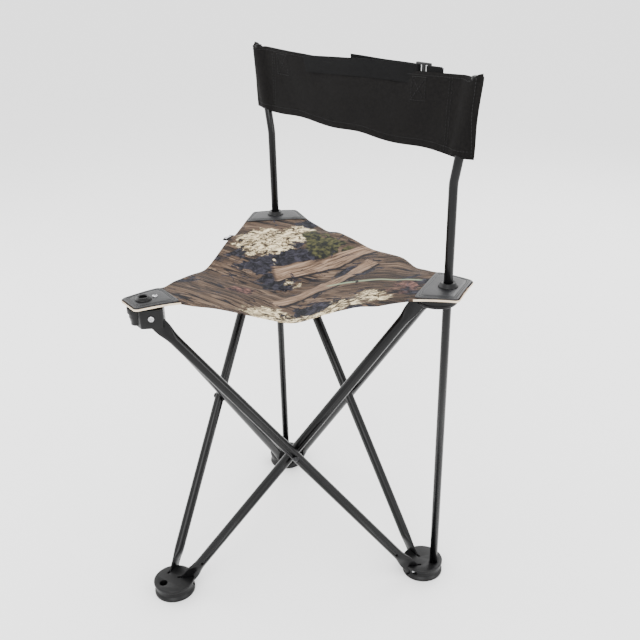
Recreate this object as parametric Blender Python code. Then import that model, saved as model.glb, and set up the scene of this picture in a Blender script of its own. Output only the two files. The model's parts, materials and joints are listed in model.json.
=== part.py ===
"""Folding three-leg stool with a sling seat and a fabric backrest.

Frame: metres, +Z up, feet on z = 0, front to -Y. The stool is modelled about its own
axis and moved along Y at the end, so that its bounding box is centred on the origin.
Corner A is the front corner (-Y); corners B (left) and C (right) are at the back and
carry the two uprights that hold the backrest. Each side of the triangle is a scissor panel of two
crossing tubes. In a panel one tube runs on the outer side and one on the inner side.
A tube named x_to_y hangs from the top hub of corner x and stands in the foot of corner y.
"""
import math

import bmesh
import bpy
from mathutils import Matrix, Vector

# ---- driving dimensions, metres -------------------------------------------------------
CORNER_RADIUS = 0.2533      # stool axis to a corner point, where two panel lines meet
PIN_RISE = 0.483            # foot pin to hub pin, upright
PIN_INSET = 0.030           # corner point to the tube pins, along the panel
FOLD_RANGE = math.radians(28.0)   # how far each crossing tube stands up when folded

TUBE_DIAMETER = 0.0159      # crossing tubes
TUBE_WALL = 0.0012
FLAT_THICKNESS = 0.0032     # flattened tube ends
FLAT_LENGTH = 0.020         # pin to the end of the flattened stretch
FLARE_LENGTH = 0.024        # flattened stretch to full round
SHOULDER = 0.004            # pin to the full width of the flat
DRAIN_DIAMETER = 0.0045     # hole through one wall, just past the foot end's flare
DRAIN_PAST_FLARE = 0.006

UPRIGHT_DIAMETER = 0.0127
UPRIGHT_WALL = 0.0010
UPRIGHT_OUTSET = 0.005      # corner point to the upright's axis, outwards
BEND_HEIGHT = 0.662
BEND_ANGLE = math.radians(12.5)
BEND_RADIUS = 0.045
UPRIGHT_TAIL = 0.139        # bend to the top end
CAP_LIP = 0.0025
CAP_DEPTH = 0.012

PIN_DIAMETER = 0.005
PIN_HEAD_DIAMETER = 0.0076
PIN_HEAD_HEIGHT = 0.0020
PIN_GRIP = 0.0045           # how far a pin reaches into the far cheek
RIVET_DIAMETER = 0.005
RIVET_HEAD_DIAMETER = 0.0095
RIVET_HEAD_HEIGHT = 0.0024
SPACER_DIAMETER = 0.013
SPACER_THICKNESS = 0.0006

FOOT_DIAMETER = 0.066
FOOT_HEIGHT = 0.023
FOOT_WAIST = 0.0030         # how far the foot's side is recessed between its flanges
FOOT_FLANGE = 0.0045
FOOT_FLOOR = 0.0023         # material under the tube slots
SOCKET_FLOOR = 0.0040       # material under the upright's socket
FOOT_INSET = 0.019          # upright's axis to the foot's middle
HUB_DIAMETER = 0.058
HUB_HEIGHT = 0.019
HUB_WAIST = 0.0009
HUB_FLANGE = 0.0040
HUB_ROOF = 0.0013           # material over the tube slots
HUB_INSET = 0.015           # upright's axis to the hub's middle
CHEEK = 0.0019              # slot wall under a screw head on the round parts

FRONT_HUB_HEIGHT = 0.027
FRONT_HUB_CHEEK = 0.0035
FRONT_HUB_REACH = 0.0462    # corner point to the inner end of each arm
FRONT_HUB_NOSE = 0.006      # corner point to the nose, inwards
FRONT_BOSS_INSET = 0.010    # corner point to the boss's axis, inwards
FRONT_HUB_ROUND = 0.004
BOSS_STEPS = ((0.0130, 0.008), (0.0112, 0.015))   # radius, depth from the hub's top
BOSS_RADIUS = 0.0095
BOSS_LIFT = 0.0015          # hub's underside to the boss's, and half of it short at the top

SEAT_THICKNESS = 0.0016
SEAT_NOSE = 0.032           # back corner points to the seat's outer edges
SEAT_NOSE_WIDTH = 0.082
SEAT_SHOULDER = 0.0275      # back corner points to where the sides of the seat leave the patch, inwards
SEAT_SHOULDER_WIDTH = 0.112
FRONT_NOSE = 0.002          # the same four sizes at the front corner
FRONT_NOSE_WIDTH = 0.050
FRONT_SHOULDER = 0.062
FRONT_SHOULDER_WIDTH = 0.068
SEAT_WAIST_RIGHT = 0.146    # stool axis to the middle of the side from corner A to corner C
SEAT_WAIST_BACK = 0.170
SEAT_WAIST_LEFT = 0.140
SEAT_SAG = 0.050
SEAT_FLAT = 0.066           # corner point to where the seat starts to sag, inwards
PATCH_THICKNESS = 0.0014
PATCH_MARGIN = 0.0022       # seat edge to patch edge
RING_DIAMETER = 0.0285
RING_HEIGHT = 0.005
FRONT_RING_DIAMETER = 0.0225
FRONT_RING_BORE = 0.0105
FRONT_RING_INSET = 0.022    # corner point to the front ring's middle, inwards
FRONT_SCREW_INSET = 0.0395  # corner point to the small screw, inwards
FRONT_SCREW_DIAMETER = 0.0078
FRONT_SCREW_HEIGHT = 0.0024

SLEEVE_BOTTOM = 0.699       # at its sides
SLEEVE_SAG = 0.007          # how much lower its bottom edge is in the middle
SLEEVE_TOP = 0.8035         # at its corners
SLEEVE_DIP = 0.008          # how much lower its top edge is in the middle
SLEEVE_HALF_MIDDLE = 0.0024
SLEEVE_CLOTH = 0.0016       # cloth around the uprights
TUNNEL_WIDTH = 0.042
STRAP_WIDTH = 0.025
STRAP_THICKNESS = 0.0014
STRAP_HEIGHT = 0.7905       # middle of the webbing
STRAP_START = -0.188
STRAP_END = 0.190
TAIL_END = -0.012
BUCKLE_X = 0.150
BUCKLE_LENGTH = 0.028
BUCKLE_HEIGHT = 0.032
BUCKLE_THICKNESS = 0.0034
BUCKLE_BAR = 0.004
TAG_LENGTH = 0.030
TAG_REACH = 0.011
TAG_THICKNESS = 0.0009
TAG_PLACE = 0.22            # along the seat's left side, from corner B towards corner A

# ---- fits -----------------------------------------------------------------------------
GAP = 0.0003                # between faces that touch
PIVOT_GAP = 0.0003          # around pins and rivets
SLIDE_GAP = 0.0004          # around the uprights in the hubs
SWING_GAP = 0.0010          # around the tube ends that swing in the slots
OVERRUN = 0.010             # how far a cutter runs past what it cuts

# ---- derived sizes --------------------------------------------------------------------
TUBE_RADIUS = TUBE_DIAMETER / 2
UPRIGHT_RADIUS = UPRIGHT_DIAMETER / 2
PIN_RADIUS = PIN_DIAMETER / 2
RIVET_RADIUS = RIVET_DIAMETER / 2
# A flattened end keeps the round tube's circumference.
FLAT_HALF = (math.pi * TUBE_DIAMETER - math.pi * FLAT_THICKNESS + 2 * FLAT_THICKNESS) / 4
TIP_RADIUS = FLAT_HALF * 0.88
LANE = (TUBE_DIAMETER + SPACER_THICKNESS + 2 * GAP) / 2    # panel line to each tube's axis
FOOT_PIN_Z = FOOT_FLOOR + SWING_GAP + TIP_RADIUS
HUB_PIN_Z = FOOT_PIN_Z + PIN_RISE
HUB_TOP = HUB_PIN_Z + TIP_RADIUS + SWING_GAP + HUB_ROOF
SLOT_HALF = FLAT_THICKNESS / 2 + GAP
SLOT_BACK = FLAT_HALF + SWING_GAP      # pin to the closed end of a slot
SEAT_LOW = HUB_TOP + GAP
SEAT_HIGH = SEAT_LOW + SEAT_THICKNESS
PATCH_LOW = SEAT_HIGH + GAP
RING_LOW = PATCH_LOW + PATCH_THICKNESS + GAP
UPRIGHT_RADIUS_OUT = CORNER_RADIUS + UPRIGHT_OUTSET        # stool axis to an upright
SOCKET_RADIUS = UPRIGHT_RADIUS + SLIDE_GAP
BORE_RADIUS = UPRIGHT_RADIUS + SLIDE_GAP

CORNER_ANGLE = {"a": math.radians(-90), "b": math.radians(150), "c": math.radians(30)}
PANELS = (("a", "c"), ("c", "b"), ("b", "a"))   # the outer tube runs first corner to second
BACK_TRIM = (SEAT_NOSE, SEAT_NOSE_WIDTH / 2, SEAT_SHOULDER, SEAT_SHOULDER_WIDTH / 2)
FRONT_TRIM = (FRONT_NOSE, FRONT_NOSE_WIDTH / 2, FRONT_SHOULDER, FRONT_SHOULDER_WIDTH / 2)
SEAT_TRIM = {"a": FRONT_TRIM, "b": BACK_TRIM, "c": BACK_TRIM}
SEAT_WAIST = {"ac": SEAT_WAIST_RIGHT, "cb": SEAT_WAIST_BACK, "ba": SEAT_WAIST_LEFT}

UP = Vector((0, 0, 1))

# ---- colours --------------------------------------------------------------------------
FINISHES = {
    "coated_steel": ((0.012, 0.012, 0.013), 0.32, 0.5),
    "black_plastic": ((0.016, 0.016, 0.017), 0.48, 0.0),
    "bright_steel": ((0.32, 0.32, 0.33), 0.30, 1.0),
    "blackened_steel": ((0.03, 0.03, 0.03), 0.35, 0.9),
    "camo_cloth": ((0.22, 0.17, 0.11), 0.85, 0.0),
    "black_leatherette": ((0.02, 0.02, 0.022), 0.42, 0.0),
    "black_cloth": ((0.013, 0.013, 0.014), 0.88, 0.0),
    "webbing": ((0.012, 0.012, 0.012), 0.75, 0.0),
    "label_cloth": ((0.02, 0.02, 0.02), 0.6, 0.0),
}


# ---- frames ---------------------------------------------------------------------------
def outward(corner):
    """Unit vector from the stool's axis to a corner."""
    angle = CORNER_ANGLE[corner]
    return Vector((math.cos(angle), math.sin(angle), 0))


def sideways(corner):
    """Unit vector across a corner, anticlockwise seen from above."""
    return UP.cross(outward(corner))


def corner_point(corner, along=0.0, across=0.0, z=0.0):
    """A point given from a corner point: outwards, across and up."""
    return outward(corner) * (CORNER_RADIUS + along) + sideways(corner) * across + UP * z


def lane_normal(top, foot):
    """Outward normal of the panel that holds the tube top_to_foot."""
    return (outward(top) + outward(foot)).normalized()


def lane_offset(top, foot):
    """Signed distance from the panel line to the tube's axis: outer tubes are positive."""
    return LANE if (top, foot) in PANELS else -LANE


def pin_point(corner, other, offset, z):
    """A tube pin near a corner, in the panel towards the other corner."""
    along = (corner_point(other) - corner_point(corner)).normalized()
    normal = lane_normal(corner, other)
    return corner_point(corner) + along * PIN_INSET + normal * offset + UP * z


def tube_ends(top, foot):
    """Foot pin and hub pin of the tube top_to_foot."""
    offset = lane_offset(top, foot)
    return pin_point(foot, top, offset, FOOT_PIN_Z), pin_point(top, foot, offset, HUB_PIN_Z)


def upright_at(corner, z=0.0):
    """A point on an upright's axis below its bend."""
    return corner_point(corner, UPRIGHT_OUTSET, 0, z)


# ---- mesh helpers ---------------------------------------------------------------------
def clear_scene():
    """Remove whatever the scene holds."""
    for obj in list(bpy.data.objects):
        bpy.data.objects.remove(obj, do_unlink=True)


def finish_material(name):
    """The Principled material of a finish, made once."""
    if name in bpy.data.materials:
        return bpy.data.materials[name]
    colour, roughness, metallic = FINISHES[name]
    material = bpy.data.materials.new(name)
    material.use_nodes = True
    shader = material.node_tree.nodes["Principled BSDF"]
    shader.inputs["Base Color"].default_value = (*colour, 1)
    shader.inputs["Roughness"].default_value = roughness
    shader.inputs["Metallic"].default_value = metallic
    return material


def new_object(name, bm):
    """An object from a bmesh, with its faces turned outwards."""
    bmesh.ops.recalc_face_normals(bm, faces=bm.faces)
    mesh = bpy.data.meshes.new(name)
    bm.to_mesh(mesh)
    bm.free()
    obj = bpy.data.objects.new(name, mesh)
    bpy.context.scene.collection.objects.link(obj)
    return obj


def loft(name, rings):
    """A closed solid through rings of points, each ring with as many points."""
    bm = bmesh.new()
    layers = [[bm.verts.new(point) for point in ring] for ring in rings]
    count = len(layers[0])
    for low, high in zip(layers, layers[1:]):
        for i in range(count):
            j = (i + 1) % count
            bm.faces.new((low[i], low[j], high[j], high[i]))
    bm.faces.new(list(reversed(layers[0])))
    bm.faces.new(layers[-1])
    return new_object(name, bm)


def axes_for(direction):
    """Two unit vectors square to a direction."""
    direction = direction.normalized()
    seed = UP if abs(direction.z) < 0.9 else Vector((1, 0, 0))
    first = seed.cross(direction).normalized()
    return first, direction.cross(first)


def circle(centre, direction, radius, segments):
    """Points of a circle square to a direction."""
    first, second = axes_for(direction)
    turns = (2 * math.pi * i / segments for i in range(segments))
    return [centre + (first * math.cos(t) + second * math.sin(t)) * radius for t in turns]


def rod(name, start, end, radius, segments=16):
    """A cylinder between two points."""
    direction = end - start
    return loft(name, [circle(start, direction, radius, segments), circle(end, direction, radius, segments)])


def stepped_rod(name, start, direction, steps, segments=16):
    """A turned solid along a line: steps are (distance along, radius)."""
    direction = direction.normalized()
    rings = [circle(start + direction * along, direction, radius, segments) for along, radius in steps]
    return loft(name, rings)


def turned(name, centre, profile, segments=32):
    """A solid turned about a vertical axis: profile is (radius, z) from bottom to top."""
    rings = [circle(centre + UP * z, UP, radius, segments) for radius, z in profile]
    return loft(name, rings)


def washer(name, start, direction, inner, outer, thickness, segments=20, crown=0.0):
    """A flat ring; crown rounds its upper outer edge."""
    direction = direction.normalized()
    path = [(inner, 0.0), (outer, 0.0), (outer, thickness - crown)]
    if crown:
        path.append((outer - crown * 0.3, thickness - crown * 0.3))
    path += [(outer - crown, thickness), (inner, thickness)] if crown else [(outer, thickness), (inner, thickness)]
    if not crown:
        path.pop(2)
    bm = bmesh.new()
    loops = []
    for radius, along in path:
        loops.append([bm.verts.new(p) for p in circle(start + direction * along, direction, radius, segments)])
    loops.append(loops[0])
    for low, high in zip(loops, loops[1:]):
        for i in range(segments):
            j = (i + 1) % segments
            bm.faces.new((low[i], low[j], high[j], high[i]))
    return new_object(name, bm)


def slab(name, outline, low, high):
    """A flat outline in plan, raised from one height to another."""
    bottom = [Vector((p.x, p.y, low)) for p in outline]
    top = [Vector((p.x, p.y, high)) for p in outline]
    return loft(name, [bottom, top])


def boolean(obj, tool, operation):
    """Join or cut an object with a tool object, which is used up."""
    modifier = obj.modifiers.new(operation.lower(), "BOOLEAN")
    modifier.operation = operation
    modifier.solver = "EXACT"
    modifier.object = tool
    bpy.context.view_layer.update()
    graph = bpy.context.evaluated_depsgraph_get()
    mesh = bpy.data.meshes.new_from_object(obj.evaluated_get(graph))
    obj.modifiers.clear()
    obj.data = mesh
    bpy.data.objects.remove(tool, do_unlink=True)
    return obj


def cut(obj, *tools):
    """Cut an object with each tool in turn."""
    for tool in tools:
        boolean(obj, tool, "DIFFERENCE")
    return obj


def block(name, centre, x_axis, y_axis, size):
    """A box with its own axes."""
    z_axis = x_axis.cross(y_axis)
    bm = bmesh.new()
    bmesh.ops.create_cube(bm, size=1)
    turn = Matrix((x_axis * size[0], y_axis * size[1], z_axis * size[2])).transposed().to_4x4()
    bmesh.ops.transform(bm, matrix=Matrix.Translation(centre) @ turn, verts=bm.verts)
    return new_object(name, bm)


def rounded(points, radius, steps=3):
    """A plan outline with its corners rounded by arcs."""
    result = []
    count = len(points)
    for i, corner in enumerate(points):
        before = (points[i - 1] - corner).normalized()
        after = (points[(i + 1) % count] - corner).normalized()
        half = before.angle(after) / 2
        reach = radius / math.tan(half)
        centre = corner + (before + after).normalized() * radius / math.sin(half)
        start = corner + before * reach - centre
        end = corner + after * reach - centre
        for step in range(steps + 1):
            result.append(centre + start.lerp(end, step / steps).normalized() * radius)
    return result


# ---- the bodies' empties --------------------------------------------------------------
class Rig:
    """Empties on the joints' axes; every solid hangs from the empty of its body."""

    def __init__(self):
        self.empties = {}

    def body(self, name, place, parent=None):
        """Add a body whose joint's axis passes through place."""
        empty = bpy.data.objects.new("pivot_" + name, None)
        empty.empty_display_size = 0.02
        bpy.context.scene.collection.objects.link(empty)
        origin = Vector(place)
        if parent:
            empty.parent = self.empties[parent][0]
            empty.location = origin - self.empties[parent][1]
        else:
            empty.location = origin
        self.empties[name] = (empty, origin)

    def hang(self, obj, body, finish, smooth_angle=35):
        """Give a solid its body, its finish and its shading."""
        empty, origin = self.empties[body]
        obj.data.transform(Matrix.Translation(-origin))
        obj.parent = empty
        obj.data.materials.clear()
        obj.data.materials.append(finish_material(finish))
        obj.data.shade_smooth()
        obj.data.set_sharp_from_angle(angle=math.radians(smooth_angle))


def make_bodies(rig):
    """The tree of bodies, opened at one pivot of each closed loop."""
    rig.body("foot_a", corner_point("a"))
    for side in ("c", "b"):
        foot_pin, hub_pin = tube_ends(side, "a")
        rig.body(f"tube_{side}_to_a", foot_pin, "foot_a")
        rig.body(f"hub_{side}", hub_pin, f"tube_{side}_to_a")
        rig.body(f"tube_a_to_{side}", (foot_pin + hub_pin) / 2, f"tube_{side}_to_a")
        far_foot, far_hub = tube_ends("a", side)
        rig.body(f"foot_{side}", far_foot, f"tube_a_to_{side}")
        if side == "c":
            rig.body("hub_a", far_hub, "tube_a_to_c")
    foot_pin, hub_pin = tube_ends("b", "c")
    rig.body("tube_b_to_c", foot_pin, "foot_c")
    rig.body("tube_c_to_b", (foot_pin + hub_pin) / 2, "tube_b_to_c")


# ---- crossing tubes -------------------------------------------------------------------
def end_sections():
    """Sections of one tube end: (distance from the pin, half width, roundness 0 to 1)."""
    sections = []
    for degrees in (22, 48, 72, 90):
        turn = math.radians(degrees)
        sections.append((-TIP_RADIUS * math.cos(turn), TIP_RADIUS * math.sin(turn), 0.0))
    sections.append((SHOULDER, FLAT_HALF, 0.0))
    for step in range(5):
        share = step / 4
        blend = share * share * (3 - 2 * share)
        sections.append((FLAT_LENGTH + FLARE_LENGTH * share, FLAT_HALF, blend))
    return sections


def tube_section(centre, wide, thin, half_width, roundness, segments=16):
    """Section between a flat with round edges and a full circle."""
    points = []
    for i in range(segments):
        turn = 2 * math.pi * i / segments
        cos, sin = math.cos(turn), math.sin(turn)
        side = 0 if abs(cos) < 1e-6 else math.copysign(1, cos)
        flat_x = side * (half_width - FLAT_THICKNESS / 2) + FLAT_THICKNESS / 2 * cos
        flat_y = FLAT_THICKNESS / 2 * sin
        x = flat_x + (TUBE_RADIUS * cos - flat_x) * roundness
        y = flat_y + (TUBE_RADIUS * sin - flat_y) * roundness
        points.append(centre + wide * x + thin * y)
    return points


def make_cross_tube(rig, top, foot):
    """A crossing tube with flattened, drilled ends."""
    name = f"cross_tube_{top}_to_{foot}"
    foot_pin, hub_pin = tube_ends(top, foot)
    normal = lane_normal(top, foot)
    axis = (hub_pin - foot_pin).normalized()
    wide = axis.cross(normal)
    length = (hub_pin - foot_pin).length
    ends = end_sections()
    places = ends + [(length - s, half, r) for s, half, r in reversed(ends)]
    rings = [tube_section(foot_pin + axis * s, wide, normal, half, r) for s, half, r in places]
    tube = loft(name, rings)
    start = FLAT_LENGTH + FLARE_LENGTH
    hollow = rod("hollow", foot_pin + axis * start, hub_pin - axis * start, TUBE_RADIUS - TUBE_WALL)
    reach = normal * (TUBE_RADIUS + OVERRUN)
    middle = (foot_pin + hub_pin) / 2
    cut(tube, hollow, rod("rivet_hole", middle - reach, middle + reach, RIVET_RADIUS + PIVOT_GAP, 12))
    for pin in (foot_pin, hub_pin):
        cut(tube, rod("pin_hole", pin - reach, pin + reach, PIN_RADIUS + PIVOT_GAP, 12))
    drain = foot_pin + axis * (start + DRAIN_PAST_FLARE)
    cut(tube, rod("drain_hole", drain, drain + reach, DRAIN_DIAMETER / 2, 10))
    rig.hang(tube, f"tube_{top}_to_{foot}", "coated_steel")


def make_crossing(rig, first, second):
    """The rivet and the spacer where a panel's two tubes cross."""
    foot_pin, hub_pin = tube_ends(first, second)
    normal = lane_normal(first, second)
    middle = (foot_pin + hub_pin) / 2 - normal * LANE
    body = f"tube_{second}_to_{first}"
    reach = LANE + TUBE_RADIUS + GAP
    head = RIVET_HEAD_DIAMETER / 2
    crown = RIVET_HEAD_HEIGHT
    steps = [(-reach - crown, head * 0.55), (-reach - crown * 0.6, head * 0.88), (-reach, head),
             (-reach, RIVET_RADIUS), (reach, RIVET_RADIUS), (reach, head),
             (reach + crown * 0.6, head * 0.88), (reach + crown, head * 0.55)]
    rivet = stepped_rod(f"cross_rivet_{first}{second}", middle, normal, steps, 14)
    rig.hang(rivet, body, "blackened_steel")
    spacer = washer(f"cross_spacer_{first}{second}", middle - normal * SPACER_THICKNESS / 2, normal,
                    RIVET_RADIUS + PIVOT_GAP, SPACER_DIAMETER / 2, SPACER_THICKNESS, 16)
    rig.hang(spacer, body, "black_plastic")


# ---- feet and hubs --------------------------------------------------------------------
def spool_profile(radius, height, waist, flange, low):
    """Profile of a round part with two flanges and a shallow waist."""
    edge = 0.0010
    return [(radius - edge, low), (radius, low + edge), (radius, low + flange),
            (radius - waist, low + flange + waist), (radius - waist, low + height - flange - waist),
            (radius, low + height - flange), (radius, low + height - edge),
            (radius - edge, low + height)]


def corner_tubes(corner):
    """The tubes that end at a corner's hub: (other corner, offset from the panel line)."""
    for other in "abc":
        if other != corner:
            yield other, lane_offset(corner, other)


def slot_tool(corner, other, offset, pin_z, low, high, reach):
    """Cutter for the slot that a flattened tube end swings in."""
    along = (corner_point(other) - corner_point(corner)).normalized()
    normal = lane_normal(corner, other)
    pin = pin_point(corner, other, offset, pin_z)
    length = SLOT_BACK + reach
    centre = pin + along * (reach - SLOT_BACK) / 2
    centre.z = (low + high) / 2
    return block("slot", centre, along, normal, (length, 2 * SLOT_HALF, high - low))


def pin_solid(name, pin, normal, seat):
    """A headed pin: seat is the distance from the tube's flat to the head's bearing face."""
    head = PIN_HEAD_DIAMETER / 2
    grip = -(SLOT_HALF + PIN_GRIP)
    top = seat + GAP
    steps = [(grip, PIN_RADIUS * 0.8), (grip + 0.0006, PIN_RADIUS), (top, PIN_RADIUS), (top, head),
             (top + PIN_HEAD_HEIGHT * 0.6, head), (top + PIN_HEAD_HEIGHT, head * 0.72)]
    return stepped_rod(name, pin, normal, steps, 14)


def pin_tools(pin, normal, seat, recessed):
    """Cutters for a pin's hole and, on a round part, the recess of its head."""
    start = pin - normal * (SLOT_HALF + PIN_GRIP + GAP)
    tools = [rod("pin_hole", start, pin + normal * (seat + OVERRUN), PIN_RADIUS + PIVOT_GAP, 12)]
    if recessed:
        radius = PIN_HEAD_DIAMETER / 2 + 2 * GAP
        tools.append(rod("recess", pin + normal * seat, pin + normal * (seat + FOOT_DIAMETER), radius, 14))
    return tools


def make_pins(rig, body, corner, solid, prefix, pin_z, face, own_side):
    """Drill a foot or hub for its two pins, and make the pins.

    With a face distance (panel line to a flat cheek) the heads sit on the outer cheeks;
    without one each head is sunk into the round part, on its own tube's side.
    """
    for other in "abc":
        if other == corner:
            continue
        offset = lane_offset(corner, other) if own_side == "hub" else lane_offset(other, corner)
        normal = lane_normal(corner, other)
        seat = SLOT_HALF + CHEEK
        if face:
            seat = face - offset
        elif offset < 0:
            normal = -normal
        pin = pin_point(corner, other, offset, pin_z)
        cut(solid, *pin_tools(pin, normal, seat, not face))
        label = f"{corner}_to_{other}" if own_side == "hub" else f"{other}_to_{corner}"
        rig.hang(pin_solid(f"{prefix}_{label}", pin, normal, seat), body, "bright_steel")


def make_foot(rig, corner):
    """A round foot with a socket for an upright and two slots for tube ends."""
    body = f"foot_{corner}"
    centre = upright_at(corner) - outward(corner) * FOOT_INSET
    radius = FOOT_DIAMETER / 2
    foot = turned(body, centre, spool_profile(radius, FOOT_HEIGHT, FOOT_WAIST, FOOT_FLANGE, 0), 36)
    socket = upright_at(corner)
    cut(foot, rod("socket", socket + UP * SOCKET_FLOOR, socket + UP * (FOOT_HEIGHT + OVERRUN), SOCKET_RADIUS, 20))
    for other in "abc":
        if other != corner:
            offset = lane_offset(other, corner)
            cut(foot, slot_tool(corner, other, offset, FOOT_PIN_Z, FOOT_FLOOR, FOOT_HEIGHT + OVERRUN, FOOT_DIAMETER))
    make_pins(rig, body, corner, foot, "foot_pin", FOOT_PIN_Z, None, "foot")
    rig.hang(foot, body, "black_plastic")


def cut_hub_slots(hub, corner, low):
    """Slots open to the hub's underside and towards the other corners."""
    roof = HUB_TOP - HUB_ROOF
    for other, offset in corner_tubes(corner):
        cut(hub, slot_tool(corner, other, offset, HUB_PIN_Z, low - OVERRUN, roof, FOOT_DIAMETER))


def make_back_hub(rig, corner):
    """A round hub that slides on its upright."""
    centre = upright_at(corner) - outward(corner) * HUB_INSET
    low = HUB_TOP - HUB_HEIGHT
    profile = spool_profile(HUB_DIAMETER / 2, HUB_HEIGHT, HUB_WAIST, HUB_FLANGE, low)
    hub = turned(f"top_hub_{corner}", centre, profile, 36)
    axis = upright_at(corner)
    cut(hub, rod("bore", axis + UP * (low - OVERRUN), axis + UP * (HUB_TOP + OVERRUN), BORE_RADIUS, 20))
    cut_hub_slots(hub, corner, low)
    make_pins(rig, f"hub_{corner}", corner, hub, "hub_screw", HUB_PIN_Z, None, "hub")
    rig.hang(hub, f"hub_{corner}", "black_plastic")


def make_front_hub(rig):
    """The front hub: a block with two flat outer cheeks and a stepped boss at the nose."""
    face = LANE + SLOT_HALF + FRONT_HUB_CHEEK      # panel line to a cheek's outer face
    slope = math.radians(30)
    nose = (face + FRONT_HUB_NOSE * math.sin(slope)) / math.cos(slope)
    arm = FRONT_HUB_REACH
    cos, sin = math.cos(slope), math.sin(slope)
    outer_end = (-arm * cos + face * sin, arm * sin + face * cos)
    inner_end = (-arm * cos - face * sin, arm * sin - face * cos)
    half = [(-FRONT_HUB_NOSE, nose), outer_end, inner_end]
    plan = half + [(x, -y) for x, y in reversed(half)]
    outline = rounded([corner_point("a", x, y) for x, y in plan], FRONT_HUB_ROUND)
    low = HUB_TOP - FRONT_HUB_HEIGHT
    hub = slab("top_hub_a", outline, low, HUB_TOP)
    axis = corner_point("a", -FRONT_BOSS_INSET)
    steps = [(BOSS_RADIUS, low + BOSS_LIFT)]
    for radius, depth in reversed(BOSS_STEPS):
        steps += [(steps[-1][0], HUB_TOP - depth), (radius, HUB_TOP - depth)]
    steps.append((steps[-1][0], HUB_TOP - BOSS_LIFT / 2))
    boolean(hub, turned("boss", axis, steps, 24), "UNION")
    cut_hub_slots(hub, "a", low)
    screw = corner_point("a", -FRONT_SCREW_INSET)
    cut(hub, rod("screw_hole", screw + UP * (HUB_TOP - 0.010), screw + UP * (HUB_TOP + OVERRUN),
                 PIN_RADIUS * 0.7 + PIVOT_GAP, 10))
    make_pins(rig, "hub_a", "a", hub, "hub_screw", HUB_PIN_Z, face, "hub")
    rig.hang(hub, "hub_a", "black_plastic")


# ---- uprights -------------------------------------------------------------------------
def upright_direction(corner):
    """Direction of an upright above its bend: it leans outwards along the backrest."""
    side = math.copysign(1, outward(corner).x)
    return Vector((side * math.sin(BEND_ANGLE), 0, math.cos(BEND_ANGLE)))


def upright_path(corner):
    """Points along an upright's axis, from its socket to its top end."""
    axis = upright_at(corner)
    lean = upright_direction(corner)
    tangent = BEND_RADIUS * math.tan(BEND_ANGLE / 2)
    side = Vector((lean.x, 0, 0)).normalized()
    points = [axis + UP * (SOCKET_FLOOR + GAP)]
    steps = 5
    centre = axis + UP * (BEND_HEIGHT - tangent) + side * BEND_RADIUS
    for i in range(steps + 1):
        turn = BEND_ANGLE * i / steps
        points.append(centre - side * BEND_RADIUS * math.cos(turn) + UP * BEND_RADIUS * math.sin(turn))
    points.append(axis + UP * BEND_HEIGHT + lean * UPRIGHT_TAIL)
    return points


def sweep_rings(path, radius, segments=16):
    """Rings of points around a path in a vertical plane."""
    rings = []
    across = Vector((0, 1, 0))
    for i, point in enumerate(path):
        before = path[max(i - 1, 0)]
        after = path[min(i + 1, len(path) - 1)]
        direction = (after - before).normalized()
        first = across.cross(direction).normalized()
        turns = (2 * math.pi * k / segments for k in range(segments))
        rings.append([point + (first * math.cos(t) + across * math.sin(t)) * radius for t in turns])
    return rings


def make_upright(rig, corner):
    """A bent tube, open at both ends, with a cap in its top end."""
    path = upright_path(corner)
    outer = sweep_rings(path, UPRIGHT_RADIUS)
    inner = sweep_rings(path, UPRIGHT_RADIUS - UPRIGHT_WALL)
    bm = bmesh.new()
    layers = [[bm.verts.new(p) for p in ring] for ring in outer + list(reversed(inner))]
    layers.append(layers[0])
    count = len(layers[0])
    for low, high in zip(layers, layers[1:]):
        for i in range(count):
            j = (i + 1) % count
            bm.faces.new((low[i], low[j], high[j], high[i]))
    rig.hang(new_object(f"upright_{corner}", bm), f"foot_{corner}", "coated_steel")
    lean = upright_direction(corner)
    end = path[-1]
    plug = UPRIGHT_RADIUS - UPRIGHT_WALL - GAP
    steps = [(-CAP_DEPTH, plug * 0.9), (-CAP_DEPTH + 0.001, plug), (GAP, plug), (GAP, UPRIGHT_RADIUS),
             (CAP_LIP * 0.6, UPRIGHT_RADIUS), (CAP_LIP, UPRIGHT_RADIUS * 0.7)]
    cap = stepped_rod(f"upright_cap_{corner}", end, lean, steps, 16)
    rig.hang(cap, f"foot_{corner}", "black_plastic")


# ---- seat -----------------------------------------------------------------------------
def seat_side(first, second, steps):
    """Points of the concave side between two corners, ends included."""
    start = corner_point(first, -SEAT_TRIM[first][2], SEAT_TRIM[first][3])
    end = corner_point(second, -SEAT_TRIM[second][2], -SEAT_TRIM[second][3])
    normal = lane_normal(first, second)
    chord = (start + end) / 2
    control = chord + normal * 2 * (SEAT_WAIST[first + second] - chord.dot(normal))
    points = []
    for i in range(steps + 1):
        t = i / steps
        points.append(start * (1 - t) ** 2 + control * 2 * t * (1 - t) + end * t * t)
    return points


def seat_outline():
    """The seat in plan, anticlockwise."""
    outline = []
    order = "acb"
    for i, corner in enumerate(order):
        following = order[(i + 1) % 3]
        nose, half, shoulder, half_in = SEAT_TRIM[corner]
        trim = 0.006
        flank = [(nose - trim, half)]
        for share in (0.35, 0.75):
            flank.append((nose - trim - (shoulder + nose - trim) * share, half + (half_in - half) * share))
        outline += [corner_point(corner, x, -y) for x, y in reversed(flank)]
        outline.append(corner_point(corner, nose, -half + trim))
        outline.append(corner_point(corner, nose, half - trim))
        outline += [corner_point(corner, x, y) for x, y in flank]
        outline += seat_side(corner, following, 9)
    return outline


def seat_drop(point):
    """How far the cloth sags below the hubs at a point in plan."""
    scale = 0.018
    total = sum(math.exp(outward(c).dot(point) / scale) for c in "abc")
    reach = scale * math.log(total)
    edge = CORNER_RADIUS - SEAT_FLAT
    share = min(max(1 - reach / edge, 0), 1)
    return SEAT_SAG * share ** 1.25


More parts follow.
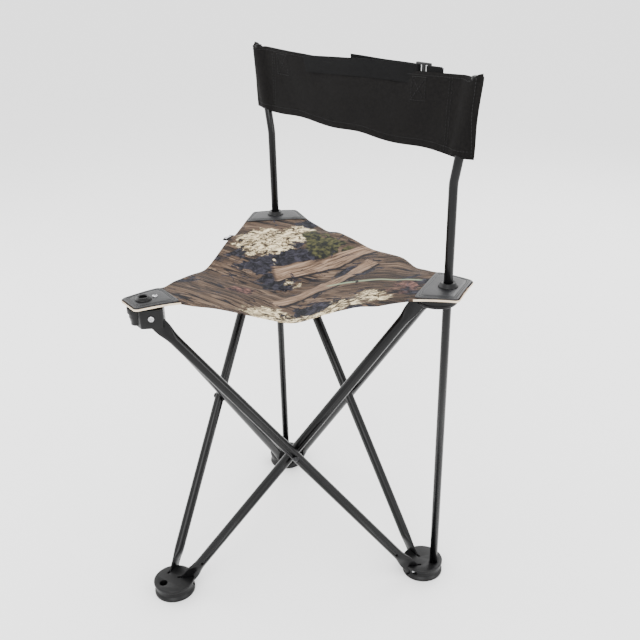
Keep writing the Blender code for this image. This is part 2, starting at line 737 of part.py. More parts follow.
def make_seat(rig):
    """The sling seat: cloth that lies on the three hubs and sags between them."""
    outline = seat_outline()
    shares = (0.14, 0.30, 0.44, 0.57, 0.68, 0.78, 0.89, 1.0)
    count = len(outline)
    bm = bmesh.new()
    sides = []
    for lift in (SEAT_LOW, SEAT_HIGH):
        centre = bm.verts.new((0, 0, lift - seat_drop(Vector((0, 0, 0)))))
        rings = []
        for share in shares:
            ring = []
            for point in outline:
                place = point * share
                ring.append(bm.verts.new((place.x, place.y, lift - seat_drop(place))))
            rings.append(ring)
        for i in range(count):
            j = (i + 1) % count
            bm.faces.new((centre, rings[0][i], rings[0][j]))
            for low, high in zip(rings, rings[1:]):
                bm.faces.new((low[i], high[i], high[j], low[j]))
        sides.append(rings)
    for i in range(count):
        j = (i + 1) % count
        bm.faces.new((sides[0][-1][i], sides[0][-1][j], sides[1][-1][j], sides[1][-1][i]))
    seat = new_object("seat_sling", bm)
    for corner in "bc":
        axis = upright_at(corner)
        cut(seat, rod("hole", axis + UP * (SEAT_LOW - OVERRUN), axis + UP * (SEAT_HIGH + OVERRUN),
                      BORE_RADIUS + 2 * GAP, 16))
    screw = corner_point("a", -FRONT_SCREW_INSET)
    cut(seat, rod("hole", screw + UP * (SEAT_LOW - OVERRUN), screw + UP * (SEAT_HIGH + OVERRUN),
                  PIN_RADIUS + PIVOT_GAP, 12))
    rig.hang(seat, "hub_a", "camo_cloth")


def make_corner(rig, corner):
    """A corner's patch and ring, and at the front the small screw."""
    nose, half_out, shoulder, half_in = SEAT_TRIM[corner]
    front, half_out, half_in = nose - PATCH_MARGIN, half_out - PATCH_MARGIN, half_in - PATCH_MARGIN
    plan = [(front, -half_out), (front, half_out), (-shoulder, half_in), (-shoulder, -half_in)]
    outline = rounded([corner_point(corner, x, y) for x, y in plan], 0.005)
    patch = slab(f"corner_patch_{corner}", outline, PATCH_LOW, PATCH_LOW + PATCH_THICKNESS)
    through = (UP * (PATCH_LOW - OVERRUN), UP * (PATCH_LOW + OVERRUN))
    if corner == "a":
        axis = corner_point("a", -FRONT_RING_INSET)
        outer, bore = FRONT_RING_DIAMETER / 2, FRONT_RING_BORE / 2
        screw = corner_point("a", -FRONT_SCREW_INSET)
        cut(patch, rod("hole", screw + through[0], screw + through[1], PIN_RADIUS + PIVOT_GAP, 12))
        head = FRONT_SCREW_DIAMETER / 2
        shank = PIN_RADIUS * 0.7
        depth = RING_LOW - HUB_TOP
        steps = [(-depth - 0.008, shank * 0.6), (-depth - 0.006, shank), (0, shank), (0, head),
                 (FRONT_SCREW_HEIGHT * 0.55, head * 0.86), (FRONT_SCREW_HEIGHT, head * 0.45)]
        solid = stepped_rod("front_screw", screw + UP * RING_LOW, UP, steps, 14)
        rig.hang(solid, "hub_a", "bright_steel")
    else:
        axis = upright_at(corner)
        outer, bore = RING_DIAMETER / 2, BORE_RADIUS
        cut(patch, rod("hole", axis + through[0], axis + through[1], BORE_RADIUS + 2 * GAP, 16))
    rig.hang(patch, f"hub_{corner}", "black_leatherette")
    ring = washer(f"corner_ring_{corner}", axis + UP * RING_LOW, UP, bore, outer, RING_HEIGHT, 24, 0.0018)
    rig.hang(ring, f"hub_{corner}", "black_plastic")


def make_tag(rig):
    """A small blank label sewn into the hem on the left side, near corner B."""
    side = seat_side("b", "a", 40)
    start = side[int(TAG_PLACE * 40) - 2]
    end = start + (side[int(TAG_PLACE * 40) + 2] - start).normalized() * TAG_LENGTH
    away = (end - start).normalized().cross(UP)
    if away.dot(start) < 0:
        away = -away
    hem = away * 0.0016
    rings = []
    for foot in (start, end):
        drop = UP * (SEAT_LOW + SEAT_THICKNESS / 2 - seat_drop(foot))
        inner = foot + hem + drop
        outer = inner + away * TAG_REACH
        half = UP * TAG_THICKNESS / 2
        rings.append([inner - half, outer - half, outer + half, inner + half])
    rig.hang(loft("seat_tag", rings), "hub_a", "label_cloth")


# ---- backrest -------------------------------------------------------------------------
def sleeve_half_width():
    """Middle of the backrest to its side edges: the tunnels hold the uprights' ends."""
    end = upright_path("c")[-1] + upright_direction("c") * CAP_LIP
    return end.x + UPRIGHT_RADIUS + SLIDE_GAP + SLEEVE_CLOTH


def make_sleeve(rig):
    """The backrest sleeve, with a slanting tunnel for each upright."""
    half_width = sleeve_half_width()
    plane = upright_at("c").y
    thick = UPRIGHT_RADIUS + SLIDE_GAP + SLEEVE_CLOTH
    columns = 24
    rings = []
    for i in range(columns + 1):
        x = -half_width + 2 * half_width * i / columns
        share = abs(x) / half_width
        tunnel = (half_width - abs(x)) / TUNNEL_WIDTH
        swell = 1 if tunnel < 0.85 else max(0, 1 - (tunnel - 0.85) / 0.5)
        swell = swell * swell * (3 - 2 * swell)
        half = SLEEVE_HALF_MIDDLE + (thick - SLEEVE_HALF_MIDDLE) * swell
        low = SLEEVE_BOTTOM - SLEEVE_SAG * (1 - share ** 2)
        high = SLEEVE_TOP - SLEEVE_DIP * (1 - share ** 2)
        ring = []
        for side, heights in ((-1, (0.0, 0.5, 1.0)), (1, (1.0, 0.5, 0.0))):
            for height in heights:
                ring.append(Vector((x, plane + side * half, low + (high - low) * height)))
        rings.append(ring)
    sleeve = loft("backrest_sleeve", rings)
    for corner in "bc":
        lean = upright_direction(corner)
        bend = upright_at(corner, BEND_HEIGHT)
        end = upright_path(corner)[-1] + lean * (CAP_LIP + 2 * GAP)
        cut(sleeve, rod("tunnel", bend, end, UPRIGHT_RADIUS + SLIDE_GAP, 20))
    rig.hang(sleeve, "foot_b", "black_cloth")


def ribbon(name, path, thickness, low, high):
    """Webbing that stands on edge along a path in plan."""
    left, right = [], []
    for i, point in enumerate(path):
        before = path[max(i - 1, 0)]
        after = path[min(i + 1, len(path) - 1)]
        normal = UP.cross(after - before).normalized() * thickness / 2
        left.append(point + normal)
        right.append(point - normal)
    return slab(name, left + list(reversed(right)), low, high)


def hairpin(start_x, bar_x, end_x, front_y, back_y):
    """A path that runs to a buckle bar, turns round it and comes back."""
    radius = (back_y - front_y) / 2
    middle = (back_y + front_y) / 2
    away = math.copysign(1, bar_x - start_x)
    path = [Vector((start_x, front_y, 0))]
    for i in range(9):
        turn = math.pi * i / 8
        path.append(Vector((bar_x + away * radius * math.sin(turn), middle - radius * math.cos(turn), 0)))
    path.append(Vector((end_x, back_y, 0)))
    return path


def make_strap(rig):
    """The carrying strap behind the backrest's top edge, its buckle and its anchor."""
    plane = upright_at("c").y
    front = plane + SLEEVE_HALF_MIDDLE + GAP + STRAP_THICKNESS
    middle = front + STRAP_THICKNESS / 2 + GAP + BUCKLE_THICKNESS / 2
    back = 2 * middle - front
    low, high = STRAP_HEIGHT - STRAP_WIDTH / 2, STRAP_HEIGHT + STRAP_WIDTH / 2
    outer_bar = BUCKLE_LENGTH / 2 - BUCKLE_BAR - GAP
    path = hairpin(STRAP_START, BUCKLE_X - outer_bar, TAIL_END, front, back)
    rig.hang(ribbon("carry_strap", path, STRAP_THICKNESS, low, high), "foot_b", "webbing")
    path = hairpin(STRAP_END, BUCKLE_X + outer_bar, STRAP_END - 0.014, front, back)
    rig.hang(ribbon("strap_anchor", path, STRAP_THICKNESS, low, high), "foot_b", "webbing")
    centre = Vector((BUCKLE_X, middle, STRAP_HEIGHT))
    along, across = Vector((1, 0, 0)), Vector((0, 1, 0))
    buckle = block("strap_buckle", centre, along, across, (BUCKLE_LENGTH, BUCKLE_THICKNESS, BUCKLE_HEIGHT))
    window = BUCKLE_LENGTH / 2 - 1.5 * BUCKLE_BAR
    shift = along * (BUCKLE_LENGTH / 2 - BUCKLE_BAR - window / 2)
    size = (window, BUCKLE_THICKNESS + OVERRUN, STRAP_WIDTH + 4 * GAP)
    for way in (-1, 1):
        cut(buckle, block("window", centre + shift * way, along, across, size))
    rig.hang(buckle, "foot_b", "black_plastic")


def centre_on_origin():
    """Move the stool along Y so that its bounding box is centred on the origin in plan."""
    bpy.context.view_layer.update()
    solids = [obj for obj in bpy.data.objects if obj.type == "MESH"]
    depths = [(obj.matrix_world @ vertex.co).y for obj in solids for vertex in obj.data.vertices]
    bpy.data.objects["pivot_foot_a"].location.y -= (min(depths) + max(depths)) / 2


def build():
    """Model the whole stool."""
    clear_scene()
    rig = Rig()
    make_bodies(rig)
    for first, second in PANELS:
        make_cross_tube(rig, first, second)
        make_cross_tube(rig, second, first)
        make_crossing(rig, first, second)
    for corner in "abc":
        make_foot(rig, corner)
        make_corner(rig, corner)
    make_front_hub(rig)
    for corner in "bc":
        make_back_hub(rig, corner)
        make_upright(rig, corner)
    make_seat(rig)
    make_tag(rig)
    make_sleeve(rig)
    make_strap(rig)
    centre_on_origin()


build()
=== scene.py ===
"""Looks of a folding three-leg stool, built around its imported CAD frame.

The hard parts are the frame's own nodes with new finishes. The cloth seat, the corner
patches and collars, the visible screws, the backrest with its webbing, and all stitching
are new pieces that ride on the frame's bodies.
"""

import json
import logging
import math
from collections.abc import Iterable, Sequence
from dataclasses import dataclass, field
from enum import Enum

import bpy
from mathutils import Matrix, Vector, noise

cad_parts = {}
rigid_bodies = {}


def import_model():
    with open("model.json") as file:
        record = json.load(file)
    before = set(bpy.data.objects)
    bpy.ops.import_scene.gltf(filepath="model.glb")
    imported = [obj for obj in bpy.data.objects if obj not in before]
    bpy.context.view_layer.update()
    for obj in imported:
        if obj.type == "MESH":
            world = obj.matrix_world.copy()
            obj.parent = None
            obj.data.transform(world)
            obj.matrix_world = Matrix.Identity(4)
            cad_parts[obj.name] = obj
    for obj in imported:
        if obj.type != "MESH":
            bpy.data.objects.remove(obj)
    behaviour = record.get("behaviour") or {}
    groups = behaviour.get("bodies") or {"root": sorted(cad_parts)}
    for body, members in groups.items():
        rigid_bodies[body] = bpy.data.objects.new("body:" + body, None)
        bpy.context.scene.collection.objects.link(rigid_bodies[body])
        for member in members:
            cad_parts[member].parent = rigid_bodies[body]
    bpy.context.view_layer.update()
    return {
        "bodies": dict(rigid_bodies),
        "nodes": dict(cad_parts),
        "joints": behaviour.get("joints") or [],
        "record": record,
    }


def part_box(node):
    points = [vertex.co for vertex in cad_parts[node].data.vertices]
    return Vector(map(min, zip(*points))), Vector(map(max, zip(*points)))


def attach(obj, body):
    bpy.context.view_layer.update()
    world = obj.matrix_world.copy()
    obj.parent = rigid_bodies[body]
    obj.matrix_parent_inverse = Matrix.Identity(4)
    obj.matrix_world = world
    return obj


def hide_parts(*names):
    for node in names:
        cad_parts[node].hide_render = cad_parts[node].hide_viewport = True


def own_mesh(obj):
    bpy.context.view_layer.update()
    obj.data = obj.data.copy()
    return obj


log = logging.getLogger("stool")

Colour = tuple[float, float, float]
Place = tuple[float, float, float]
Points = list[Vector]
Socket = bpy.types.NodeSocket
Material = bpy.types.Material
Piece = bpy.types.Object

CORNER_RADIUS = 0.2533      # stool axis to a corner point
UPRIGHT_OUTSET = 0.005      # corner point to an upright's axis
UPRIGHT_RADIUS = 0.00635
BEND_HEIGHT = 0.662
BEND_ANGLE = math.radians(12.5)
SEAT_Z = 0.5113             # underside of the seat cloth on the hubs
CLOTH = 0.0013              # seat cloth's thickness
HEM = 0.0016                # what the turned-under cloth adds at the corners
HUB_RADIUS = 0.027
FRONT_RING_INSET = 0.022    # corner point to the front collar's middle, inwards
FRONT_SCREW_INSET = 0.0395  # corner point to the small screw, inwards
BEDDING = 0.0003            # between the cloth and the patch on it
UP = Vector((0, 0, 1))


class Corner(Enum):
    """The stool's three corners, by their angle about its axis."""

    A = -90.0
    B = 150.0
    C = 30.0

    @property
    def tag(self) -> str:
        """The corner's letter in node names."""
        return self.name.lower()

    @property
    def outward(self) -> Vector:
        """Unit vector from the stool's axis to the corner."""
        angle = math.radians(self.value)
        return Vector((math.cos(angle), math.sin(angle), 0))

    @property
    def sideways(self) -> Vector:
        """Unit vector across the corner, anticlockwise from above."""
        return UP.cross(self.outward)

    @property
    def hub(self) -> str:
        """The body of the corner's top hub."""
        return f"hub_{self.tag}"


@dataclass(frozen=True)
class Trim:
    """Plan sizes of the cloth at a corner, from the corner point."""

    nose: float             # outwards to the outer edge
    nose_half: float        # half of the outer edge's width
    shoulder: float         # inwards to where the cloth's sides leave the patch
    shoulder_half: float


TRIMS = {
    Corner.A: Trim(0.002, 0.025, 0.062, 0.034),
    Corner.B: Trim(0.032, 0.041, 0.0275, 0.056),
    Corner.C: Trim(0.032, 0.041, 0.0275, 0.056),
}
ROUND = (Corner.A, Corner.C, Corner.B)                          # anticlockwise from above
WAISTS = {Corner.A: 0.146, Corner.C: 0.170, Corner.B: 0.140}    # axis to the side that follows a corner


def smooth(share: float) -> float:
    """Smoothstep of a share, clamped to 0 and 1."""
    share = min(max(share, 0.0), 1.0)
    return share * share * (3 - 2 * share)


# ---- finishes -------------------------------------------------------------------------
class Graph:
    """A small builder of shader node trees."""

    def __init__(self, name: str) -> None:
        self.material = bpy.data.materials.new(name)
        self.material.use_nodes = True
        self.tree = self.material.node_tree
        self.shader = self.tree.nodes["Principled BSDF"]
        self.coords = self.add("ShaderNodeTexCoord").outputs["Object"]

    def add(self, kind: str, **values: object) -> bpy.types.Node:
        """Add a node; values are its own settings."""
        node = self.tree.nodes.new(kind)
        for key, value in values.items():
            setattr(node, key, value)
        return node

    def link(self, source: Socket, node: bpy.types.Node, socket: str | int) -> None:
        """Join an output to a named or numbered input."""
        self.tree.links.new(source, node.inputs[socket])

    def mapped(self, scale: Sequence[float] = (1, 1, 1), turn: float = 0.0,
               shift: Sequence[float] = (0, 0, 0)) -> Socket:
        """Object coordinates, turned about Z in degrees, shifted and scaled."""
        turned = self.add("ShaderNodeMapping")
        turned.inputs["Rotation"].default_value = (0, 0, math.radians(turn))
        turned.inputs["Location"].default_value = shift
        self.link(self.coords, turned, "Vector")
        scaled = self.add("ShaderNodeMapping")
        scaled.inputs["Scale"].default_value = scale
        self.link(turned.outputs[0], scaled, "Vector")
        return scaled.outputs[0]

    def noise(self, scale: float, detail: float = 3.0, distortion: float = 0.0,
              roughness: float = 0.5, vector: Socket | None = None) -> Socket:
        """Fractal noise, 0 to 1."""
        node = self.add("ShaderNodeTexNoise")
        node.inputs["Scale"].default_value = scale
        node.inputs["Detail"].default_value = detail
        node.inputs["Distortion"].default_value = distortion
        node.inputs["Roughness"].default_value = roughness
        self.link(vector or self.coords, node, "Vector")
        return node.outputs["Fac"]

    def wave(self, scale: float, axis: str, distortion: float = 0.0, detail: float = 2.0,
             vector: Socket | None = None) -> Socket:
        """Bands along an axis."""
        node = self.add("ShaderNodeTexWave", wave_type="BANDS", bands_direction=axis)
        node.inputs["Scale"].default_value = scale
        node.inputs["Distortion"].default_value = distortion
        node.inputs["Detail"].default_value = detail
        self.link(vector or self.coords, node, "Vector")
        return node.outputs["Fac"]

    def cells(self, scale: float, vector: Socket | None = None) -> bpy.types.Node:
        """Voronoi cells."""
        node = self.add("ShaderNodeTexVoronoi")
        node.inputs["Scale"].default_value = scale
        self.link(vector or self.coords, node, "Vector")
        return node

    def ramp(self, value: Socket, stops: Iterable[tuple[float, Colour | float]]) -> Socket:
        """Colour ramp; a stop is (position, colour or grey)."""
        node = self.add("ShaderNodeValToRGB")
        elements = node.color_ramp.elements
        for i, (place, colour) in enumerate(stops):
            element = elements[i] if i < 2 else elements.new(place)
            element.position = place
            element.color = (*colour, 1) if isinstance(colour, tuple) else (colour, colour, colour, 1)
        self.link(value, node, "Fac")
        return node.outputs["Color"]

    def mask(self, value: Socket, low: float, high: float) -> Socket:
        """0 below low, 1 above high."""
        return self.ramp(value, ((low, 0.0), (high, 1.0)))

    def over(self, under: Socket, top: Socket | Colour,
             share: Socket, blend: str = "MIX") -> Socket:
        """Lay one colour over another by a mask."""
        node = self.add("ShaderNodeMix", data_type="RGBA", blend_type=blend)
        self.link(share, node, "Factor")
        self.link(under, node, 6)
        if isinstance(top, tuple):
            node.inputs[7].default_value = (*top, 1)
        else:
            self.link(top, node, 7)
        return node.outputs[2]

    def times(self, first: Socket, second: Socket) -> Socket:
        """Product of two masks."""
        node = self.add("ShaderNodeMath", operation="MULTIPLY")
        self.link(first, node, 0)
        self.link(second, node, 1)
        return node.outputs[0]

    def stripe(self, angle: float, place: float, half: float, wobble: float = 0.0) -> Socket:
        """1 on a strip across the plan, at an angle in degrees and a distance from the middle."""
        across = self.add("ShaderNodeVectorMath", operation="DOT_PRODUCT")
        across.inputs[1].default_value = (-math.sin(math.radians(angle)), math.cos(math.radians(angle)), 0)
        self.link(self.coords, across, 0)
        sway = self.add("ShaderNodeMath", operation="MULTIPLY_ADD")
        sway.inputs[1].default_value = wobble
        self.link(self.noise(9, 4, 0.6), sway, 0)
        self.link(across.outputs["Value"], sway, 2)
        shifted = self.add("ShaderNodeMath", operation="ADD")
        shifted.inputs[1].default_value = 0.5 - place - wobble / 2
        self.link(sway.outputs[0], shifted, 0)
        soft = half * 0.92
        stops = ((0.5 - half, 0.0), (0.5 - soft, 1.0), (0.5 + soft, 1.0), (0.5 + half, 0.0))
        return self.ramp(shifted.outputs[0], stops)

    def spot(self, centre: Sequence[float], reach: float, wobble: float, scale: float = 14.0) -> Socket:
        """1 around a point, 0 beyond a reach, with an uneven border."""
        away = self.add("ShaderNodeVectorMath", operation="DISTANCE")
        away.inputs[1].default_value = centre
        self.link(self.coords, away, 0)
        sway = self.add("ShaderNodeMath", operation="MULTIPLY_ADD")
        sway.inputs[1].default_value = wobble
        self.link(self.noise(scale, 6, 0.8, 0.6), sway, 0)
        self.link(away.outputs["Value"], sway, 2)
        border = reach + wobble / 2
        return self.ramp(sway.outputs[0], ((border * 0.985, 1.0), (border, 0.0)))

    def bump(self, height: Socket, distance: float, strength: float = 1.0) -> None:
        """Bump the shader's normal."""
        node = self.add("ShaderNodeBump")
        node.inputs["Distance"].default_value = distance
        node.inputs["Strength"].default_value = strength
        self.link(height, node, "Height")
        self.link(node.outputs["Normal"], self.shader, "Normal")

    def base(self, colour: Socket) -> None:
        """Drive the base colour."""
        self.link(colour, self.shader, "Base Color")


@dataclass(frozen=True)
class Finish:
    """A finish with fine grain: a dark or light base colour and a noise bump."""

    name: str
    dark: Colour
    light: Colour
    roughness: float
    metallic: float = 0.0
    grain: float = 1500.0
    depth: float = 0.00003
    coat: float = 0.0
    specular: float = 0.22

    def make(self) -> Material:
        """Build the material."""
        graph = Graph(self.name)
        graph.shader.inputs["Roughness"].default_value = self.roughness
        graph.shader.inputs["Metallic"].default_value = self.metallic
        graph.shader.inputs["Specular IOR Level"].default_value = self.specular
        graph.shader.inputs["Coat Weight"].default_value = self.coat
        graph.shader.inputs["Coat Roughness"].default_value = 0.25
        graph.base(graph.ramp(graph.noise(60, 4), ((0.3, self.dark), (0.7, self.light))))
        graph.bump(graph.noise(self.grain, 2), self.depth)
        return graph.material


@dataclass(frozen=True)
class Weave:
    """A woven cloth or webbing: crossing threads with a little colour noise."""

    name: str
    dark: Colour
    light: Colour
    thread: float
    depth: float
    roughness: float = 0.9

    def make(self) -> Material:
        """Build the material."""
        graph = Graph(self.name)
        graph.shader.inputs["Roughness"].default_value = self.roughness
        graph.shader.inputs["Specular IOR Level"].default_value = 0.08
        scale = 0.5 / self.thread
        threads = graph.times(graph.wave(scale, "X", 0.6), graph.wave(scale, "Z", 0.6))
        speckle = graph.noise(300, 6, 0.0, 0.75)
        graph.base(graph.ramp(speckle, ((0.25, self.dark), (0.75, self.light))))
        graph.bump(graph.over(threads, speckle, graph.mask(graph.noise(8), 0.0, 1.0)), self.depth)
        return graph.material


@dataclass(frozen=True)
class Leatherette:
    """Coated black cloth with a pebbled grain and a soft gloss."""

    name: str = "patch_leatherette"

    def make(self) -> Material:
        """Build the material."""
        graph = Graph(self.name)
        graph.shader.inputs["Roughness"].default_value = 0.42
        graph.shader.inputs["Specular IOR Level"].default_value = 0.30
        stops = ((0.3, (0.004, 0.004, 0.0045)), (0.75, (0.010, 0.010, 0.0115)))
        graph.base(graph.ramp(graph.noise(45, 4), stops))
        grain = graph.ramp(graph.cells(700).outputs["Distance"], ((0.05, 0.0), (0.5, 1.0)))
        graph.bump(graph.over(grain, graph.noise(220, 4), graph.mask(graph.noise(30), 0.2, 0.9)), 0.00018)
        return graph.material


@dataclass(frozen=True)
class Camouflage:
    """Printed cloth: bark, dark hollows, branches, moss, twigs and a few bright leaves."""

    name: str = "camo_print"
    wood: tuple[Colour, ...] = ((0.008, 0.006, 0.005), (0.052, 0.033, 0.022), (0.145, 0.098, 0.066))
    limb: tuple[Colour, ...] = ((0.032, 0.020, 0.014), (0.135, 0.086, 0.056), (0.27, 0.19, 0.135))
    bark: tuple[Colour, ...] = ((0.010, 0.007, 0.006), (0.16, 0.115, 0.060), (0.66, 0.56, 0.36))
    hollow: tuple[Colour, ...] = ((0.0012, 0.0014, 0.0030), (0.030, 0.028, 0.040))
    moss: tuple[Colour, ...] = ((0.004, 0.005, 0.004), (0.062, 0.060, 0.022))
    rust: tuple[Colour, ...] = ((0.014, 0.008, 0.009), (0.165, 0.080, 0.062))
    gap: Colour = (0.004, 0.003, 0.004)
    stem: Colour = (0.20, 0.25, 0.16)
    leaf: Colour = (0.50, 0.19, 0.02)
    cloth_height: float = 0.49
    pale: tuple[Place, ...] = (
        (-0.141, 0.097, 0.050), (-0.127, 0.160, 0.034), (-0.098, 0.095, 0.036), (0.096, -0.035, 0.036),
        (0.141, -0.010, 0.034), (0.143, 0.036, 0.022), (0.169, 0.082, 0.028))
    dark: tuple[Place, ...] = (
        (-0.053, 0.112, 0.042), (-0.088, 0.058, 0.026), (-0.020, 0.053, 0.030), (0.109, 0.022, 0.026),
        (0.054, 0.137, 0.030), (-0.135, 0.045, 0.018))
    green: tuple[Place, ...] = ((-0.062, 0.170, 0.036), (-0.100, 0.180, 0.026), (-0.020, 0.190, 0.020))
    red: tuple[Place, ...] = ((0.176, 0.139, 0.030), (-0.010, -0.020, 0.020))
    chips: tuple[Place, ...] = ((-0.005, 0.071, 0.016), (0.014, 0.052, 0.012), (0.075, -0.010, 0.014))
    leaves: tuple[Place, ...] = ((0.042, 0.016, 0.002), (-0.035, 0.161, 0.003))

    def patches(self, graph: Graph, colour: Socket, top: Socket | Colour, places: Iterable[Place],
                wobble: float) -> Socket:
        """Lay a colour over uneven patches; a place is (x, y, reach)."""
        for x, y, reach in places:
            colour = graph.over(colour, top, graph.spot((x, y, self.cloth_height), reach, wobble, 26))
        return colour

    def limbs(self, graph: Graph, colour: Socket) -> Socket:
        """Two broad branches across the seat and a thin pale twig towards corner C."""
        low, middle, high = self.limb
        grain = graph.noise(46, 8, 2.5, 0.62, graph.mapped((0.16, 2.4, 1), -78))
        wood = graph.ramp(grain, ((0.36, low), (0.50, middle), (0.66, high)))
        for angle, place, half, (x, y), reach in ((70, 0.068, 0.019, (-0.010, 0.150), 0.100),
                                                  (92, -0.055, 0.015, (0.052, 0.090), 0.095)):
            here = graph.spot((x, y, self.cloth_height), reach, 0.02)
            under = graph.times(graph.stripe(angle, place - 0.003, half + 0.003, 0.045), here)
            colour = graph.over(colour, self.gap, under)
            colour = graph.over(colour, wood, graph.times(graph.stripe(angle, place, half, 0.045), here))
        line = graph.stripe(32, 0.050, 0.0016, 0.016)
        here = graph.spot((0.115, 0.130, 0.50), 0.074, 0.01)
        return graph.over(colour, self.stem, graph.times(line, here))

    def make(self) -> Material:
        """Build the material."""
        graph = Graph(self.name)
        graph.shader.inputs["Roughness"].default_value = 0.88
        graph.shader.inputs["Specular IOR Level"].default_value = 0.2
        grain = graph.noise(18, 9, 1.2, 0.66, graph.mapped((0.35, 3.2, 1), -28))
        low, middle, high = self.wood
        colour = graph.ramp(grain, ((0.34, low), (0.50, middle), (0.66, high)))
        streak = graph.noise(34, 8, 2.2, 0.6, graph.mapped((0.25, 2.6, 1), -24))
        colour = graph.over(colour, self.gap, graph.mask(streak, 0.53, 0.60))
        speck = graph.noise(95, 7, 1.5, 0.78, graph.mapped((1, 0.55, 1), 15))
        low, middle, high = self.bark
        bark = graph.ramp(speck, ((0.445, low), (0.485, middle), (0.555, high)))
        violet = graph.ramp(graph.noise(95, 7, 1.0, 0.6), ((0.42, self.hollow[0]), (0.68, self.hollow[1])))
        fleck = graph.noise(120, 6)
        moss = graph.ramp(fleck, ((0.42, self.moss[0]), (0.68, self.moss[1])))
        rust = graph.ramp(fleck, ((0.40, self.rust[0]), (0.66, self.rust[1])))
        where = graph.noise(12, 7, 1.4, 0.66, graph.mapped((1.3, 0.7, 1), 20, (0.31, 0.12, 0)))
        colour = graph.over(colour, violet, graph.mask(where, 0.585, 0.592))
        for top, places, wobble in ((bark, self.pale, 0.085), (violet, self.dark, 0.080),
                                    (moss, self.green, 0.060), (rust, self.red, 0.050)):
            colour = self.patches(graph, colour, top, places, wobble)
        colour = self.limbs(graph, colour)
        colour = self.patches(graph, colour, bark, self.chips, 0.050)
        where = graph.noise(30, 8, 1.6, 0.70, graph.mapped((1.25, 0.8, 1), 40, (0.72, 0.55, 0)))
        colour = graph.over(colour, violet, graph.mask(where, 0.60, 0.61))
        colour = self.patches(graph, colour, self.leaf, self.leaves, 0.016)
        graph.base(colour)
        threads = graph.times(graph.wave(420, "X", 0.4), graph.wave(420, "Y", 0.4))
        graph.bump(threads, 0.00012)
        return graph.material


class Finishes:
    """Every material of the stool, made once."""

    def __init__(self) -> None:
        self.coated = Finish("powder_coat", (0.0010, 0.0010, 0.0012), (0.0022, 0.0022, 0.0024), 0.27,
                             grain=900, depth=0.00005, coat=0.06, specular=0.16).make()
        self.plastic = Finish("moulded_plastic", (0.0018, 0.0018, 0.0020), (0.0040, 0.0040, 0.0042), 0.38,
                              grain=1300, depth=0.00006, specular=0.18).make()
        self.zinc = Finish("zinc_screw", (0.34, 0.34, 0.35), (0.55, 0.55, 0.56), 0.26,
                           metallic=1.0, grain=600, depth=0.00002).make()
        self.black_steel = Finish("black_rivet", (0.02, 0.02, 0.021), (0.05, 0.05, 0.052), 0.3,
                                  metallic=0.9, grain=600, depth=0.00002).make()
        # Near-black painted shade for the disc that stands for the dark depth of the empty front socket.
        self.shadow = Finish("socket_black", (0.002, 0.002, 0.002), (0.003, 0.003, 0.003), 0.9).make()
        self.edge = Finish("raw_edge", (0.50, 0.40, 0.29), (0.68, 0.58, 0.44), 0.9,
                           grain=700, depth=0.0001).make()
        self.thread = Finish("black_thread", (0.0022, 0.0022, 0.0024), (0.0060, 0.0060, 0.0064), 0.6).make()
        self.silver = Finish("tag_silver", (0.35, 0.35, 0.37), (0.55, 0.55, 0.57), 0.55).make()
        self.leather = Leatherette().make()
        self.camo = Camouflage().make()
        self.cloth = Weave("black_cloth", (0.0012, 0.0011, 0.0011), (0.0075, 0.0068, 0.0066),
                           thread=0.0009, depth=0.00022).make()
        self.webbing = Weave("black_webbing", (0.0012, 0.0012, 0.0014), (0.0036, 0.0036, 0.0038),
                             thread=0.0014, depth=0.0004, roughness=0.8).make()


# ---- modelling helpers ----------------------------------------------------------------
def add_piece(name: str, vertices: Points, faces: Sequence[Sequence[int]], material: Material,
              angle: float = 40.0) -> Piece:
    """Make a piece from points, smooth up to an angle.

    Args:
        name: the piece's name.
        vertices: points in the row frame, in metres.
        faces: vertex numbers of each face.
        material: its finish.
        angle: edges sharper than this, in degrees, stay sharp.

    Returns:
        The new object, at the origin.
    """
    mesh = bpy.data.meshes.new(name)
    mesh.from_pydata([tuple(v) for v in vertices], [], [tuple(f) for f in faces])
    mesh.materials.append(material)
    piece = bpy.data.objects.new(name, mesh)
    bpy.context.scene.collection.objects.link(piece)
    bpy.ops.object.select_all(action="DESELECT")
    piece.select_set(True)
    bpy.context.view_layer.objects.active = piece
    bpy.ops.object.mode_set(mode="EDIT")
    bpy.ops.mesh.select_all(action="SELECT")
    bpy.ops.mesh.normals_make_consistent(inside=False)
    bpy.ops.object.mode_set(mode="OBJECT")
    bpy.ops.object.shade_smooth_by_angle(angle=math.radians(angle))
    return piece


def bands(rings: Sequence[Points], closed_rings: bool = True, caps: bool = True,
          loop: bool = False) -> tuple[Points, list[list[int]]]:
    """Faces through rings of points, each with as many points.

    Args:
        rings: the rings, in order.
        closed_rings: whether each ring's last point joins its first.
        caps: whether the first and last rings are filled.
        loop: whether the last ring joins the first.

    Returns:
        The points and the faces.
    """
    count = len(rings[0])
    points = [p for ring in rings for p in ring]
    faces: list[list[int]] = []
    span = count if closed_rings else count - 1
    for k in range(len(rings) if loop else len(rings) - 1):
        low, high = k * count, ((k + 1) % len(rings)) * count
        for i in range(span):
            j = (i + 1) % count
            faces.append([low + i, low + j, high + j, high + i])
    if caps and not loop:
        faces.append(list(reversed(range(count))))
        faces.append(list(range((len(rings) - 1) * count, len(rings) * count)))
    return points, faces


def lathe(name: str, place: Vector, axis: Vector, profile: Sequence[tuple[float, float]],
          material: Material, ring: bool = False, segments: int = 40) -> Piece:
    """Turn a profile of (radius, height) about an axis; ring joins its ends."""
    axis = axis.normalized()
    first = axis.orthogonal().normalized()
    second = axis.cross(first)
    turns = [2 * math.pi * i / segments for i in range(segments)]
    spokes = [first * math.cos(t) + second * math.sin(t) for t in turns]
    rings = [[place + axis * height + spoke * radius for spoke in spokes] for radius, height in profile]
    return add_piece(name, *bands(rings, loop=ring), material)


